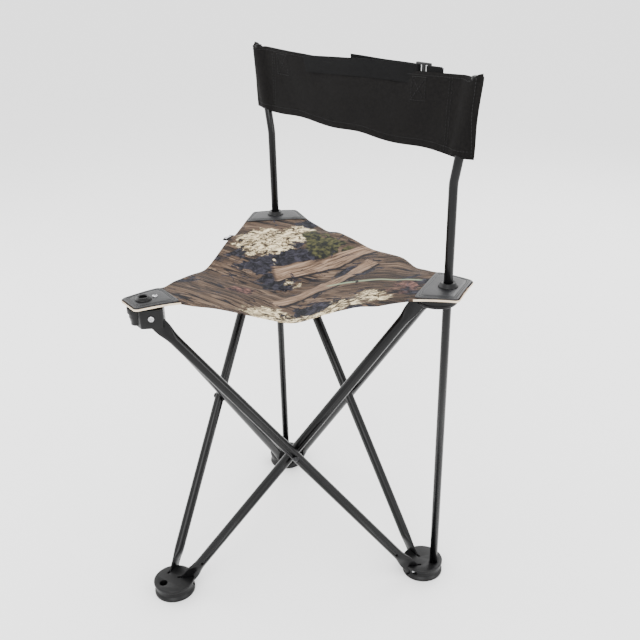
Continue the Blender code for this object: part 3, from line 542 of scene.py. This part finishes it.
def stitches(name: str, path: Points, normal: Vector, material: Material,
             length: float = 0.0026, gap: float = 0.0016, width: float = 0.0006) -> Piece:
    """A row of thread stitches along a path, as one piece."""
    vertices: Points = []
    faces: list[list[int]] = []
    total = sum((b - a).length for a, b in zip(path, path[1:]))
    count = max(1, int(total / (length + gap)))
    places = [total * (i + 0.5) / count for i in range(count)]
    walked, k = 0.0, 0
    for place in places:
        while k < len(path) - 2 and walked + (path[k + 1] - path[k]).length < place:
            walked += (path[k + 1] - path[k]).length
            k += 1
        along = (path[k + 1] - path[k]).normalized()
        middle = path[k] + along * (place - walked)
        across = normal.cross(along).normalized() * width / 2
        lift = along.cross(across).normalized() * width / 2
        if lift.dot(normal) < 0:
            lift = -lift
        start = len(vertices)
        for share, size in ((-0.5, 0.35), (-0.2, 1.0), (0.2, 1.0), (0.5, 0.35)):
            centre = middle + along * length * share
            crown = across * 0.6 * size
            vertices += [centre - across * size - lift * 0.4, centre + across * size - lift * 0.4,
                         centre + crown + lift * size, centre - crown + lift * size]
        _, some = bands([vertices[start + 4 * i:start + 4 * i + 4] for i in range(4)])
        faces += [[start + i for i in face] for face in some]
    return add_piece(name, vertices, faces, material)


# ---- the stool ------------------------------------------------------------------------
@dataclass
class Stool:
    """Shared state: the frame, the finishes and the stool's axis."""

    frame: dict
    finishes: Finishes
    axis_y: float = field(init=False)

    def __post_init__(self) -> None:
        low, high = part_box("corner_ring_b")
        self.axis_y = (low.y + high.y) / 2 - (CORNER_RADIUS + UPRIGHT_OUTSET) * Corner.B.outward.y

    def point(self, corner: Corner, along: float = 0.0, across: float = 0.0, z: float = 0.0) -> Vector:
        """A point from a corner point: outwards, across and up."""
        plan = corner.outward * (CORNER_RADIUS + along) + corner.sideways * across
        return Vector((plan.x, plan.y + self.axis_y, z))

    def own(self, piece: Piece, body: str, slot: str, replaced: Sequence[str] = ()) -> Piece:
        """Let a piece ride on a body and stand for CAD nodes; the slot is not used."""
        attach(piece, body)
        if replaced:
            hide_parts(*replaced)
        log.info("piece %s on %s", piece.name, body)
        return piece


class HardParts:
    """The frame's own nodes: tubes, hubs, feet, rivets and pins."""

    def __init__(self, stool: Stool) -> None:
        self.stool = stool

    def finish_for(self, name: str) -> Material:
        """The material of a CAD node."""
        finishes = self.stool.finishes
        if name.startswith("cross_tube") or name in ("upright_b", "upright_c"):
            return finishes.coated
        if name.startswith(("foot_pin", "hub_screw", "front_screw")):
            return finishes.zinc
        if name.startswith("cross_rivet"):
            return finishes.black_steel
        return finishes.plastic

    def build(self) -> None:
        """Give every CAD node its finish and shading."""
        for name, node in self.stool.frame["nodes"].items():
            node.data.materials.clear()
            node.data.materials.append(self.finish_for(name))
            weld = node.modifiers.new("weld", "WELD")
            weld.merge_threshold = 0.00001
            if name.startswith(("foot_a", "foot_b", "foot_c", "top_hub")):
                bevel = node.modifiers.new("bevel", "BEVEL")
                bevel.width = 0.00035
                bevel.segments = 2
                bevel.limit_method = "ANGLE"
                bevel.angle_limit = math.radians(32)
            bpy.ops.object.select_all(action="DESELECT")
            node.select_set(True)
            bpy.context.view_layer.objects.active = node
            bpy.ops.object.shade_smooth_by_angle(angle=math.radians(38))


@dataclass
class Seat:
    """The sling seat: three lobes of one cloth, each on its own corner's hub."""

    stool: Stool
    nose_round: float = 0.007
    sag: float = 0.047          # hubs to the cloth's middle
    flat: float = 0.062         # corner point to where the sag starts, inwards
    blend: float = 0.018        # how softly the three slopes meet
    curve: float = 1.25
    back_lift: float = 0.47     # share of the sag that the back edge is spared
    right_fall: float = 0.35    # share that the right edge hangs lower
    rows: int = 44
    cut: tuple[float, float] = (0.27, 0.29)     # rectangle that each lobe is cut from

    def side(self, first: Corner, steps: int = 40) -> Points:
        """Plan points along the side that follows a corner, shoulder to shoulder."""
        second = ROUND[(ROUND.index(first) + 1) % 3]
        one, two = TRIMS[first], TRIMS[second]
        start = first.outward * (CORNER_RADIUS - one.shoulder) + first.sideways * one.shoulder_half
        end = second.outward * (CORNER_RADIUS - two.shoulder) - second.sideways * two.shoulder_half
        normal = (first.outward + second.outward).normalized()
        chord = (start + end) / 2
        control = chord + normal * 2 * (WAISTS[first] - chord.dot(normal))
        shares = [i / steps for i in range(steps + 1)]
        return [start * (1 - t) ** 2 + control * 2 * t * (1 - t) + end * t * t for t in shares]

    def half_side(self, corner: Corner, hand: int) -> Points:
        """Plan points from a side's middle to a corner's shoulder; hand is -1 or 1."""
        if hand > 0:
            return list(reversed(self.side(corner)[:21]))
        return self.side(ROUND[ROUND.index(corner) - 1])[20:]

    def outline(self, corner: Corner) -> Points:
        """Plan points of a lobe's rim, anticlockwise from one side's middle to the next."""
        nose, half = TRIMS[corner].nose, TRIMS[corner].nose_half
        trim = self.nose_round

        def at(along: float, across: float) -> Vector:
            return corner.outward * (CORNER_RADIUS + along) + corner.sideways * across

        right = self.half_side(corner, -1)
        left = self.half_side(corner, 1)
        edge = [right[-1].lerp(at(nose - trim, -half), i / 8) for i in range(1, 8)]
        for i in range(6):
            turn = math.pi / 2 * i / 5
            edge.append(at(nose - trim + trim * math.sin(turn), -half + trim - trim * math.cos(turn)))
        edge += [at(nose, (-half + trim) * (1 - i / 5)) for i in range(1, 5)]
        return right + edge + [at(nose, 0)] + self.mirrored(corner, edge) + list(reversed(left))

    @staticmethod
    def mirrored(corner: Corner, points: Points) -> Points:
        """Points mirrored across a corner's radial plane, in reverse order."""
        side = corner.sideways
        return [p - side * 2 * p.dot(side) for p in reversed(points)]

    def drop(self, plan: Vector) -> float:
        """How far the cloth lies below its place on the hubs."""
        reach = self.blend * math.log(sum(math.exp(c.outward.dot(plan) / self.blend) for c in Corner))
        share = min(max(1 - reach / (CORNER_RADIUS - self.flat), 0), 1)
        fall = self.sag * share ** self.curve
        right = plan.dot(Corner.A.outward + Corner.C.outward)
        spared = self.back_lift * smooth((plan.y - 0.05) / 0.12)
        fall *= 1 - spared + self.right_fall * smooth((right - 0.04) / 0.10)
        near = min(Corner, key=lambda c: (c.outward * CORNER_RADIUS - plan).length)
        local = plan - near.outward * (CORNER_RADIUS - 0.010)
        outside = max(local.length - HUB_RADIUS, 0) * (1 - smooth(share * 4))
        turn = math.atan2(plan.y, plan.x)
        fold = math.sin(9 * turn + 40 * plan.length) * 0.0007 * smooth(share * 3)
        ripple = noise.noise(Vector((plan.x * 22, plan.y * 22, 3.1))) * 0.0010 * smooth(share * 3)
        return fall + outside * outside * 1.6 + fold + ripple

    def place(self, plan: Vector, lift: float) -> Vector:
        """A point of the cloth; lift is its height above the underside."""
        near = min(Corner, key=lambda c: (c.outward * CORNER_RADIUS - plan).length)
        inwards = CORNER_RADIUS - plan.dot(near.outward) - TRIMS[near].shoulder
        pad = HEM * (1 - smooth(inwards / 0.012)) if lift > 0 else 0
        return Vector((plan.x, plan.y + self.stool.axis_y, SEAT_Z + lift + pad - self.drop(plan)))

    def lobe(self, corner: Corner) -> Piece:
        """One corner's share of the cloth."""
        rim = self.outline(corner)
        shares = [0.004 + 0.996 * (i / (self.rows - 1)) for i in range(self.rows)]
        under = [[self.place(p * s, 0) for p in rim] for s in shares]
        over = [[self.place(p * s, CLOTH) for p in rim] for s in shares]
        rings = []
        for i in range(len(rim)):
            column = [under[k][i] for k in range(self.rows)]
            rings.append(column + [over[k][i] for k in reversed(range(self.rows))])
        points, faces = bands(rings, closed_rings=True, caps=True)
        piece = add_piece(f"seat_cloth_{corner.tag}", points, faces, self.stool.finishes.camo, 60)
        piece.data.materials.append(self.stool.finishes.edge)
        for face in piece.data.polygons:
            flat = Vector((face.normal.x, face.normal.y, 0))
            place = face.center - Vector((0, self.stool.axis_y, 0))
            if flat.length > 0.8 and place.dot(corner.outward) > CORNER_RADIUS - TRIMS[corner].shoulder:
                face.material_index = 1
        replaced = ("seat_sling",) if corner is Corner.A else ()
        self.stool.own(piece, corner.hub, "camo_cloth", replaced)
        anchor = self.stool.point(corner, 0.0, 0.0, SEAT_Z)
        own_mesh(piece)
        return piece

    def hem(self, corner: Corner, hand: int) -> Piece:
        """The stitch row along half of a side."""
        path = []
        for plan in self.half_side(corner, hand):
            inside = plan - plan.normalized() * 0.008
            path.append(self.place(inside, CLOTH + 0.0001))
        name = f"seat_hem_{corner.tag}_{'left' if hand > 0 else 'right'}"
        row = stitches(name, path, UP, self.stool.finishes.thread)
        self.stool.own(row, corner.hub, "camo_cloth")
        anchor = self.stool.point(corner, 0.0, 0.0, SEAT_Z)
        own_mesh(row)
        return row

    def build(self) -> None:
        """Model the cloth and its hems."""
        for corner in Corner:
            self.lobe(corner)
            for hand in (-1, 1):
                self.hem(corner, hand)


@dataclass
class CornerTrim:
    """A corner's leatherette patch, its stitching and its collar."""

    stool: Stool
    seat: Seat
    corner: Corner
    margin: float = 0.0020                      # seat edge to patch edge
    thick: float = 0.0015
    dome: float = 1.2                           # thickness in the middle over the thickness at the rim
    rows: tuple[float, float] = (0.0038, 0.0066)    # patch edge to each stitch row

    def outline(self, inset: float) -> Points:
        """Plan points of the patch's rim, pulled in by an inset."""
        trim = TRIMS[self.corner]
        front = trim.nose - self.margin
        half_out, half_in = trim.nose_half - self.margin, trim.shoulder_half - self.margin
        plan = [Vector((front, -half_out)), Vector((front, half_out)),
                Vector((-trim.shoulder, half_in)), Vector((-trim.shoulder, -half_in))]
        result: Points = []
        for i, here in enumerate(plan):
            before, after = plan[i - 1], plan[(i + 1) % 4]
            a, b = (before - here).normalized(), (after - here).normalized()
            bisector = (a + b).normalized()
            half = math.acos(max(-1, min(1, a.dot(b)))) / 2
            radius = 0.006
            inner = here + bisector * inset / math.sin(half)
            start, end = inner + a * radius / math.tan(half), inner + b * radius / math.tan(half)
            for k in range(7):
                t = k / 6
                result.append(start * (1 - t) ** 2 + inner * 2 * t * (1 - t) + end * t * t)
            beyond = (plan[(i + 2) % 4] - after).normalized()
            following = after + ((here - after).normalized() + beyond).normalized() * inset
            for k in range(1, 10):
                result.append(end.lerp(following, k / 10 * 0.86))
        outward, side = self.corner.outward, self.corner.sideways
        return [outward * (CORNER_RADIUS + p.x) + side * p.y for p in result]

    def patch(self) -> Piece:
        """The domed patch with a rolled rim and a pressed border."""
        base = CLOTH + BEDDING
        outer, inner = self.rows
        steps = ((0.0, 0.0), (0.0, 0.7), (0.0006, 1.0), (0.0030, 1.0), (outer, 0.72), (0.0046, 1.0),
                 (0.0058, 1.0), (inner, 0.72), (0.0074, 1.0), (0.0120, 1.1), (0.0170, self.dome))
        rings = [[self.seat.place(p, base + self.thick * h) for p in self.outline(i)] for i, h in steps]
        points, faces = bands(rings)
        names = (f"corner_patch_{self.corner.tag}",)
        piece = add_piece(f"patch_{self.corner.tag}", points, faces, self.stool.finishes.leather, 50)
        return self.stool.own(piece, self.corner.hub, "black_leatherette", names)

    def thread(self) -> None:
        """Two rows of stitches round the patch."""
        lift = CLOTH + BEDDING + self.thick * 0.85
        for row, inset in enumerate(self.rows):
            path = [self.seat.place(p, lift) for p in self.outline(inset)]
            name = f"patch_stitch_{self.corner.tag}_{row}"
            piece = stitches(name, path + path[:1], UP, self.stool.finishes.thread)
            self.stool.own(piece, self.corner.hub, "black_leatherette")

    def collar(self) -> None:
        """The collar on the patch: round an upright, or round the empty front socket."""
        low = SEAT_Z + CLOTH + HEM + BEDDING + self.thick * self.dome - 0.0002
        name, node = f"collar_{self.corner.tag}", f"corner_ring_{self.corner.tag}"
        if self.corner is Corner.A:
            place = self.stool.point(self.corner, -FRONT_RING_INSET, 0, low)
            outer, bore, high = 0.0118, 0.0060, 0.0044
        else:
            place = self.stool.point(self.corner, UPRIGHT_OUTSET, 0, low)
            outer, bore, high = 0.0143, UPRIGHT_RADIUS + 0.0004, 0.0062
        profile = [(bore, 0.0), (outer, 0.0), (outer, 0.0012), (outer - 0.0005, 0.0020),
                   (outer - 0.0018, 0.0030), (outer - 0.0030, high - 0.0008), (outer - 0.0038, high),
                   (bore + 0.0010, high), (bore, high - 0.0008)]
        piece = lathe(name, place, UP, profile, self.stool.finishes.plastic, ring=True)
        self.stool.own(piece, self.corner.hub, "black_plastic", (node,))
        if self.corner is Corner.A:
            # The near-black disc inside the front collar is painted shade: it stands for the dark depth of
            # the empty socket.
            edge = bore - 0.0002
            disc = lathe("front_socket", place + UP * 0.0002, UP, [(edge, 0.0), (edge, 0.0006)],
                         self.stool.finishes.shadow)
            self.stool.own(disc, self.corner.hub, "black_plastic")

    def build(self) -> None:
        """Model the corner's trim."""
        self.patch()
        self.thread()
        self.collar()


@dataclass
class Screw:
    """A pan-head screw with a cross recess, standing for one CAD screw."""

    stool: Stool
    node: str
    body: str
    head: float

    def build(self, seat: Vector, axis: Vector, shank: float) -> None:
        """Model the screw; seat is the middle of its bearing face."""
        radius = self.head / 2
        profile = [(0.0012, -shank), (0.0017, -shank + 0.001), (0.0017, 0.0), (radius, 0.0), (radius, 0.0006),
                   (radius * 0.93, 0.0013), (radius * 0.72, 0.0020), (radius * 0.40, 0.0024),
                   (0.0002, 0.0025)]
        piece = lathe(f"{self.node}_head", seat, axis, profile, self.stool.finishes.zinc, segments=28)
        turn = axis.to_track_quat("Z", "Y").to_matrix().to_4x4()
        for quarter in (0, 90):
            bpy.ops.mesh.primitive_cube_add(size=1)
            blade = bpy.context.object
            shape = Matrix.Diagonal((radius * 1.15, 0.0011, 0.003, 1))
            spin = Matrix.Rotation(math.radians(quarter + 20), 4, "Z")
            blade.data.transform(Matrix.Translation(seat + axis * 0.0027) @ turn @ spin @ shape)
            recess = piece.modifiers.new("recess", "BOOLEAN")
            recess.operation = "DIFFERENCE"
            recess.solver = "EXACT"
            recess.object = blade
            bpy.context.view_layer.objects.active = piece
            bpy.ops.object.modifier_apply(modifier="recess")
            bpy.data.objects.remove(blade, do_unlink=True)
        bpy.context.view_layer.objects.active = piece
        piece.select_set(True)
        bpy.ops.object.shade_smooth_by_angle(angle=math.radians(35))
        self.stool.own(piece, self.body, "bright_steel", (self.node,))


@dataclass
class Backrest:
    """The fabric sleeve on the two uprights, with its webbing strap and buckle."""

    stool: Stool
    half_top: float = 0.2628
    half_bottom: float = 0.2565
    bottom: float = 0.6995
    top: float = 0.8010
    seam: float = 0.2060
    columns: int = 132
    rows: int = 22
    keep: float = 0.394         # folded spacing of the uprights over the open spacing
    droop: float = 0.005        # how much lower the bottom edge is in the middle
    dip: float = 0.0075         # how much lower the top edge is in the middle
    ear: float = 0.003          # how far the top corners stand up
    bow: float = 0.006          # how far the middle stands back
    crease: float = 0.0024
    pull: float = 0.0016        # folds that run from the strap's box to the tunnel

    @property
    def plane(self) -> float:
        """The uprights' Y."""
        return self.stool.point(Corner.C, UPRIGHT_OUTSET).y

    def upright_x(self, z: float) -> float:
        """Distance of an upright's axis from the middle at a height."""
        base = self.stool.point(Corner.C, UPRIGHT_OUTSET).x
        return base + math.tan(BEND_ANGLE) * max(z - BEND_HEIGHT, 0)

    def surface(self, u: float, v: float, side: int) -> Vector:
        """A point of the sleeve: u -1 to 1 across, v 0 to 1 up, side -1 front or 1 back."""
        share = abs(u)
        low = self.bottom - self.droop * (1 - share ** 2.2) + 0.0018 * math.sin(11 * u + 1.0)
        ear = self.ear * smooth((share - 0.955) / 0.045) - 0.002 * math.exp(-((share - 0.93) / 0.03) ** 2)
        high = self.top - self.dip * (1 - share ** 2) + ear + 0.0012 * math.sin(9 * u + 0.5) * (1 - share)
        z = low + (high - low) * v
        slack = 0.006 * (1 - v) + 0.0015 if u < 0 else 0.0
        half = self.half_bottom + slack + (self.half_top - self.half_bottom) * v
        half += 0.0012 * math.sin(7 * v + u)
        x = u * half
        away = abs(abs(x) - self.upright_x(z))
        wrap = UPRIGHT_RADIUS + 0.0016
        tube = math.sqrt(max(wrap ** 2 - away ** 2, 0))
        tent = wrap * smooth(1 - (away - 0.001) / 0.030)
        thick = max(tube, tent, 0.0016)
        edge = smooth(min(v, 1 - v) / 0.035) * 0.55 + 0.45
        side_edge = 0.25 + 0.75 * smooth((1 - share) / 0.018)
        thick *= edge * side_edge
        bow = self.bow * (1 - share ** 2)
        crease = noise.noise(Vector((x * 17 + z * 9, z * 21, 1.7 + side * 0.3))) * self.crease
        fan = math.sin(60 * (z - 0.73) + 24 * (0.21 - abs(x)))
        pull = self.pull * fan * math.exp(-((abs(x) - 0.17) / 0.045) ** 2)
        loose = (crease + pull) * (1 - smooth((share - 0.8) / 0.12))
        return Vector((x, self.plane + bow + side * thick + loose, z))

    def shell(self) -> Piece:
        """The closed sleeve."""
        rings = []
        for i in range(self.columns + 1):
            u = -1 + 2 * i / self.columns
            front = [self.surface(u, k / self.rows, -1) for k in range(self.rows + 1)]
            back = [self.surface(u, k / self.rows, 1) for k in reversed(range(self.rows + 1))]
            rings.append(front + back)
        return add_piece("backrest_cloth", *bands(rings), self.stool.finishes.cloth, 70)

    def row(self, name: str, places: Sequence[tuple[float, float]], side: int = -1) -> Piece:
        """A row of stitches through (u, v) places on one face."""
        lift = Vector((0, 0.0002 * side, 0))
        path = [self.surface(u, v, side) + lift for u, v in places]
        piece = stitches(name, path, Vector((0, side, 0)), self.stool.finishes.thread, 0.0030, 0.0014, 0.0008)
        return self.settle(piece, "black_cloth")

    def settle(self, piece: Piece, slot: str, replaced: Sequence[str] = ()) -> Piece:
        """Ride on the left foot's upright."""
        self.stool.own(piece, "foot_b", slot, replaced)
        anchor = (-self.stool.point(Corner.C, UPRIGHT_OUTSET).x, self.plane, 0.7)
        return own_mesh(piece)

    def sewing(self) -> None:
        """Tunnel seams, hems and the boxes that hold the strap."""
        for hand, side_name in ((-1, "left"), (1, "right")):
            for k, shift in enumerate((0.0, 0.020)):
                u = hand * (self.seam / self.half_top + shift)
                for face, label in ((-1, "front"), (1, "back")):
                    name = f"tunnel_seam_{side_name}_{k}_{label}"
                    self.row(name, [(u, 0.03 + 0.94 * i / 30) for i in range(31)], face)
            outer = hand * 0.985
            self.row(f"edge_seam_{side_name}", [(outer, 0.03 + 0.94 * i / 30) for i in range(31)])
        for face, label in ((-1, "front"), (1, "back")):
            self.row(f"hem_low_{label}", [(-0.97 + 1.94 * i / 120, 0.10) for i in range(121)], face)
            self.row(f"hem_high_{label}", [(-0.97 + 1.94 * i / 120, 0.955) for i in range(121)], face)
        for name, middle in (("left", -0.70), ("right", 0.56)):
            left, right, low, high = middle - 0.055, middle + 0.055, 0.62, 0.93
            a, b, c, d = (left, low), (right, low), (right, high), (left, high)
            corners = (a, b, c, d, a, c, d, b)
            path = []
            for first, second in zip(corners, corners[1:]):
                for i in range(10):
                    t = i / 10
                    path.append(tuple(m + (n - m) * t for m, n in zip(first, second)))
            self.row(f"strap_box_{name}", path)

    def ribbon(self, name: str, path: Points, width: float, thick: float, twist: float = 0.0) -> Piece:
        """Webbing that stands on edge along a path."""
        rings = []
        for i, here in enumerate(path):
            before, after = path[max(i - 1, 0)], path[min(i + 1, len(path) - 1)]
            normal = UP.cross(after - before).normalized()
            rise = (UP + normal * twist * math.sin(i * 0.7)).normalized() * width / 2
            half = normal * thick / 2
            rings.append([here - rise - half, here - rise * 1.01, here - rise + half,
                          here + rise + half, here + rise * 1.01, here + rise - half])
        return add_piece(name, *bands(rings), self.stool.finishes.webbing, 45)

    def webbing(self) -> None:
        """The strap behind the top edge, its tail and its buckle."""
        low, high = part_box("strap_buckle")
        middle = (low + high) / 2
        front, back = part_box("carry_strap")[0].y + 0.0007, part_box("carry_strap")[1].y - 0.0007
        z = middle.z
        start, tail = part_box("carry_strap")[0].x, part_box("strap_anchor")[1].x
        bar = low.x + 0.004
        hang = [0.010 * (1 - smooth(i / 22)) for i in range(25)]
        path = []
        for i, drop in enumerate(hang):
            x = start + (bar - start) * i / 24
            path.append(Vector((x, front + 0.0004 * math.sin(i * 0.8), z - drop)))
        for i in range(1, 8):
            turn = math.pi * i / 8
            radius = (back - front) / 2
            path.append(Vector((bar + radius * math.sin(turn), front + radius - radius * math.cos(turn), z)))
        end = -0.012
        for i in range(17):
            x = bar + (end - bar) * i / 16
            path.append(Vector((x, back + 0.0012 * math.sin(i * 0.55), z + 0.0012 * i / 16)))
        strap = self.ribbon("strap_webbing", path, 0.025, 0.0014, 0.02)
        self.settle(strap, "webbing", ("carry_strap", "backrest_sleeve"))
        bar = high.x - 0.004
        path = [Vector((tail + (bar - tail) * i / 8, front, z)) for i in range(9)]
        for i in range(1, 8):
            turn = math.pi * i / 8
            radius = (back - front) / 2
            path.append(Vector((bar - radius * math.sin(turn), front + radius - radius * math.cos(turn), z)))
        path += [Vector((bar + 0.022 * i / 5, back, z)) for i in range(6)]
        anchor = self.ribbon("strap_anchor_webbing", path, 0.025, 0.0014)
        self.settle(anchor, "webbing", ("strap_anchor",))
        self.buckle(middle, high - low)

    def buckle(self, middle: Vector, size: Vector) -> None:
        """The ladder-lock buckle: a rounded frame with two windows."""
        bpy.ops.mesh.primitive_cube_add(size=1)
        body = bpy.context.object
        body.name = "ladder_lock"
        body.data.transform(Matrix.Translation(middle) @ Matrix.Diagonal((size.x, size.y * 1.25, size.z, 1)))
        bevel = body.modifiers.new("round", "BEVEL")
        bevel.width, bevel.segments = 0.0011, 3
        bpy.ops.object.modifier_apply(modifier="round")
        for way in (-1, 1):
            bpy.ops.mesh.primitive_cube_add(size=1)
            window = bpy.context.object
            place = middle + Vector((way * size.x * 0.215, 0, 0))
            shape = Matrix.Diagonal((size.x * 0.29, 0.02, 0.0262, 1))
            window.data.transform(Matrix.Translation(place) @ shape)
            opening = body.modifiers.new("window", "BOOLEAN")
            opening.operation, opening.solver, opening.object = "DIFFERENCE", "EXACT", window
            bpy.context.view_layer.objects.active = body
            bpy.ops.object.modifier_apply(modifier="window")
            bpy.data.objects.remove(window, do_unlink=True)
        body.data.materials.append(self.stool.finishes.plastic)
        bpy.ops.object.select_all(action="DESELECT")
        body.select_set(True)
        bpy.context.view_layer.objects.active = body
        bpy.ops.object.shade_smooth_by_angle(angle=math.radians(40))
        self.settle(body, "black_plastic", ("strap_buckle",))

    def build(self) -> None:
        """Model the backrest."""
        shell = self.shell()
        self.settle(shell, "black_cloth", ("backrest_sleeve",))
        self.sewing()
        self.webbing()


@dataclass
class Label:
    """The small folded tag in the seat's left hem: black, with a plain silver stripe."""

    stool: Stool
    seat: Seat

    def build(self) -> None:
        """Model the tag and its stripe."""
        low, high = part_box("seat_tag")
        side = self.seat.half_side(Corner.B, 1)
        close = sorted(side, key=lambda p: (p.x - (low.x + high.x) / 2) ** 2
                       + (p.y + self.stool.axis_y - (low.y + high.y) / 2) ** 2)[0]
        index = side.index(close)
        along = (side[min(index + 1, 20)] - side[max(index - 1, 0)]).normalized()
        away = along.cross(UP)
        if away.dot(close) < 0:
            away = -away
        for name, lift, span, reach, start, material in (
                ("tag_cloth", 0.0, 0.030, 0.012, -0.002, self.stool.finishes.webbing),
                ("tag_stripe", 0.00055, 0.022, 0.0045, 0.0045, self.stool.finishes.silver)):
            rings = []
            half = UP * 0.0004
            for i in range(9):
                t = i / 8 - 0.5
                edge = close + along * span * t
                base = self.seat.place(edge, CLOTH / 2 + lift)
                wave = UP * 0.0010 * math.sin(i * 0.8)
                inner, outer = base + away * start, base + away * (start + reach) + wave
                rings.append([inner - half, outer - half, outer + half, inner + half])
            piece = add_piece(name, *bands(rings), material, 30)
            replaced = ("seat_tag",) if name == "tag_cloth" else ()
            self.stool.own(piece, Corner.B.hub, "label_cloth", replaced)
            anchor = self.stool.point(Corner.B, 0.0, 0.0, SEAT_Z)
            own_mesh(piece)


# ---- stage ----------------------------------------------------------------------------
@dataclass(frozen=True)
class Studio:
    """Pale floor, soft lights and the camera."""

    place: tuple[float, float, float] = (1.0003, -0.5867, 0.9473)
    yaw: float = 145.071
    pitch: float = -26.936
    roll: float = -1.307
    focal: float = 821.9
    rise: float = 42.0

    def camera(self) -> None:
        """Add the camera."""
        data = bpy.data.cameras.new("camera")
        data.sensor_width = 36
        data.lens = self.focal * 36 / 640
        data.shift_y = self.rise / 640
        camera = bpy.data.objects.new("camera", data)
        bpy.context.scene.collection.objects.link(camera)
        yaw, pitch, roll = (math.radians(v) for v in (self.yaw, self.pitch, self.roll))
        ahead = Vector((math.cos(yaw) * math.cos(pitch), math.sin(yaw) * math.cos(pitch), math.sin(pitch)))
        right = Vector((math.sin(yaw), -math.cos(yaw), 0))
        up = right.cross(ahead)
        turned = right * math.cos(roll) + up * math.sin(roll)
        up = up * math.cos(roll) - right * math.sin(roll)
        basis = Matrix((turned, up, -ahead)).transposed().to_4x4()
        camera.matrix_world = Matrix.Translation(self.place) @ basis
        bpy.context.scene.camera = camera

    @staticmethod
    def light(name: str, place: Vector, size: float, power: float) -> None:
        """Add an area light aimed at the stool."""
        data = bpy.data.lights.new(name, "AREA")
        data.size = size
        data.energy = power
        lamp = bpy.data.objects.new(name, data)
        bpy.context.scene.collection.objects.link(lamp)
        aim = (Vector((0, 0, 0.4)) - place).to_track_quat("-Z", "Y")
        lamp.matrix_world = Matrix.Translation(place) @ aim.to_matrix().to_4x4()

    def build(self) -> None:
        """Set up floor, lights, world and camera."""
        bpy.ops.mesh.primitive_plane_add(size=80)
        floor = bpy.context.object
        floor.name = "floor"
        graph = Graph("floor_pale")
        graph.shader.inputs["Base Color"].default_value = (0.90, 0.90, 0.90, 1)
        graph.shader.inputs["Roughness"].default_value = 0.9
        floor.data.materials.append(graph.material)
        world = bpy.data.worlds.new("studio")
        bpy.context.scene.world = world
        world.use_nodes = True
        world.node_tree.nodes["Background"].inputs["Color"].default_value = (1, 1, 1, 1)
        world.node_tree.nodes["Background"].inputs["Strength"].default_value = 2.4
        self.light("key", Vector((1.6, -1.6, 2.2)), 1.6, 60)
        self.light("fill", Vector((-1.8, -1.0, 1.7)), 1.8, 34)
        self.light("back", Vector((-0.6, 2.2, 1.9)), 1.6, 36)
        self.light("side", Vector((2.2, 0.9, 1.0)), 0.9, 20)
        self.camera()


def main() -> None:
    """Build the stool's looks in order."""
    logging.basicConfig(level=logging.INFO, format="%(message)s")
    for obj in list(bpy.data.objects):
        bpy.data.objects.remove(obj, do_unlink=True)
    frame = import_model()
    stool = Stool(frame, Finishes())
    HardParts(stool).build()
    seat = Seat(stool)
    seat.build()
    for corner in Corner:
        CornerTrim(stool, seat, corner).build()
    for node in ("hub_screw_a_to_b", "hub_screw_a_to_c"):
        low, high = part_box(node)
        other = Corner.B if node.endswith("b") else Corner.C
        normal = (Corner.A.outward + other.outward).normalized()
        tip = max((v.co.copy() for v in frame["nodes"][node].data.vertices), key=lambda p: p.dot(normal))
        middle = (low + high) / 2
        seat_point = middle + normal * ((tip - middle).dot(normal) - 0.0020)
        Screw(stool, node, Corner.A.hub, 0.0088).build(seat_point, normal, 0.009)
    top = stool.point(Corner.A, -FRONT_SCREW_INSET, 0, SEAT_Z + CLOTH + HEM + 0.0021)
    Screw(stool, "front_screw", Corner.A.hub, 0.0076).build(top, UP, 0.009)
    Backrest(stool).build()
    Label(stool, seat).build()
    Studio().build()


if __name__ == "__main__":
    main()
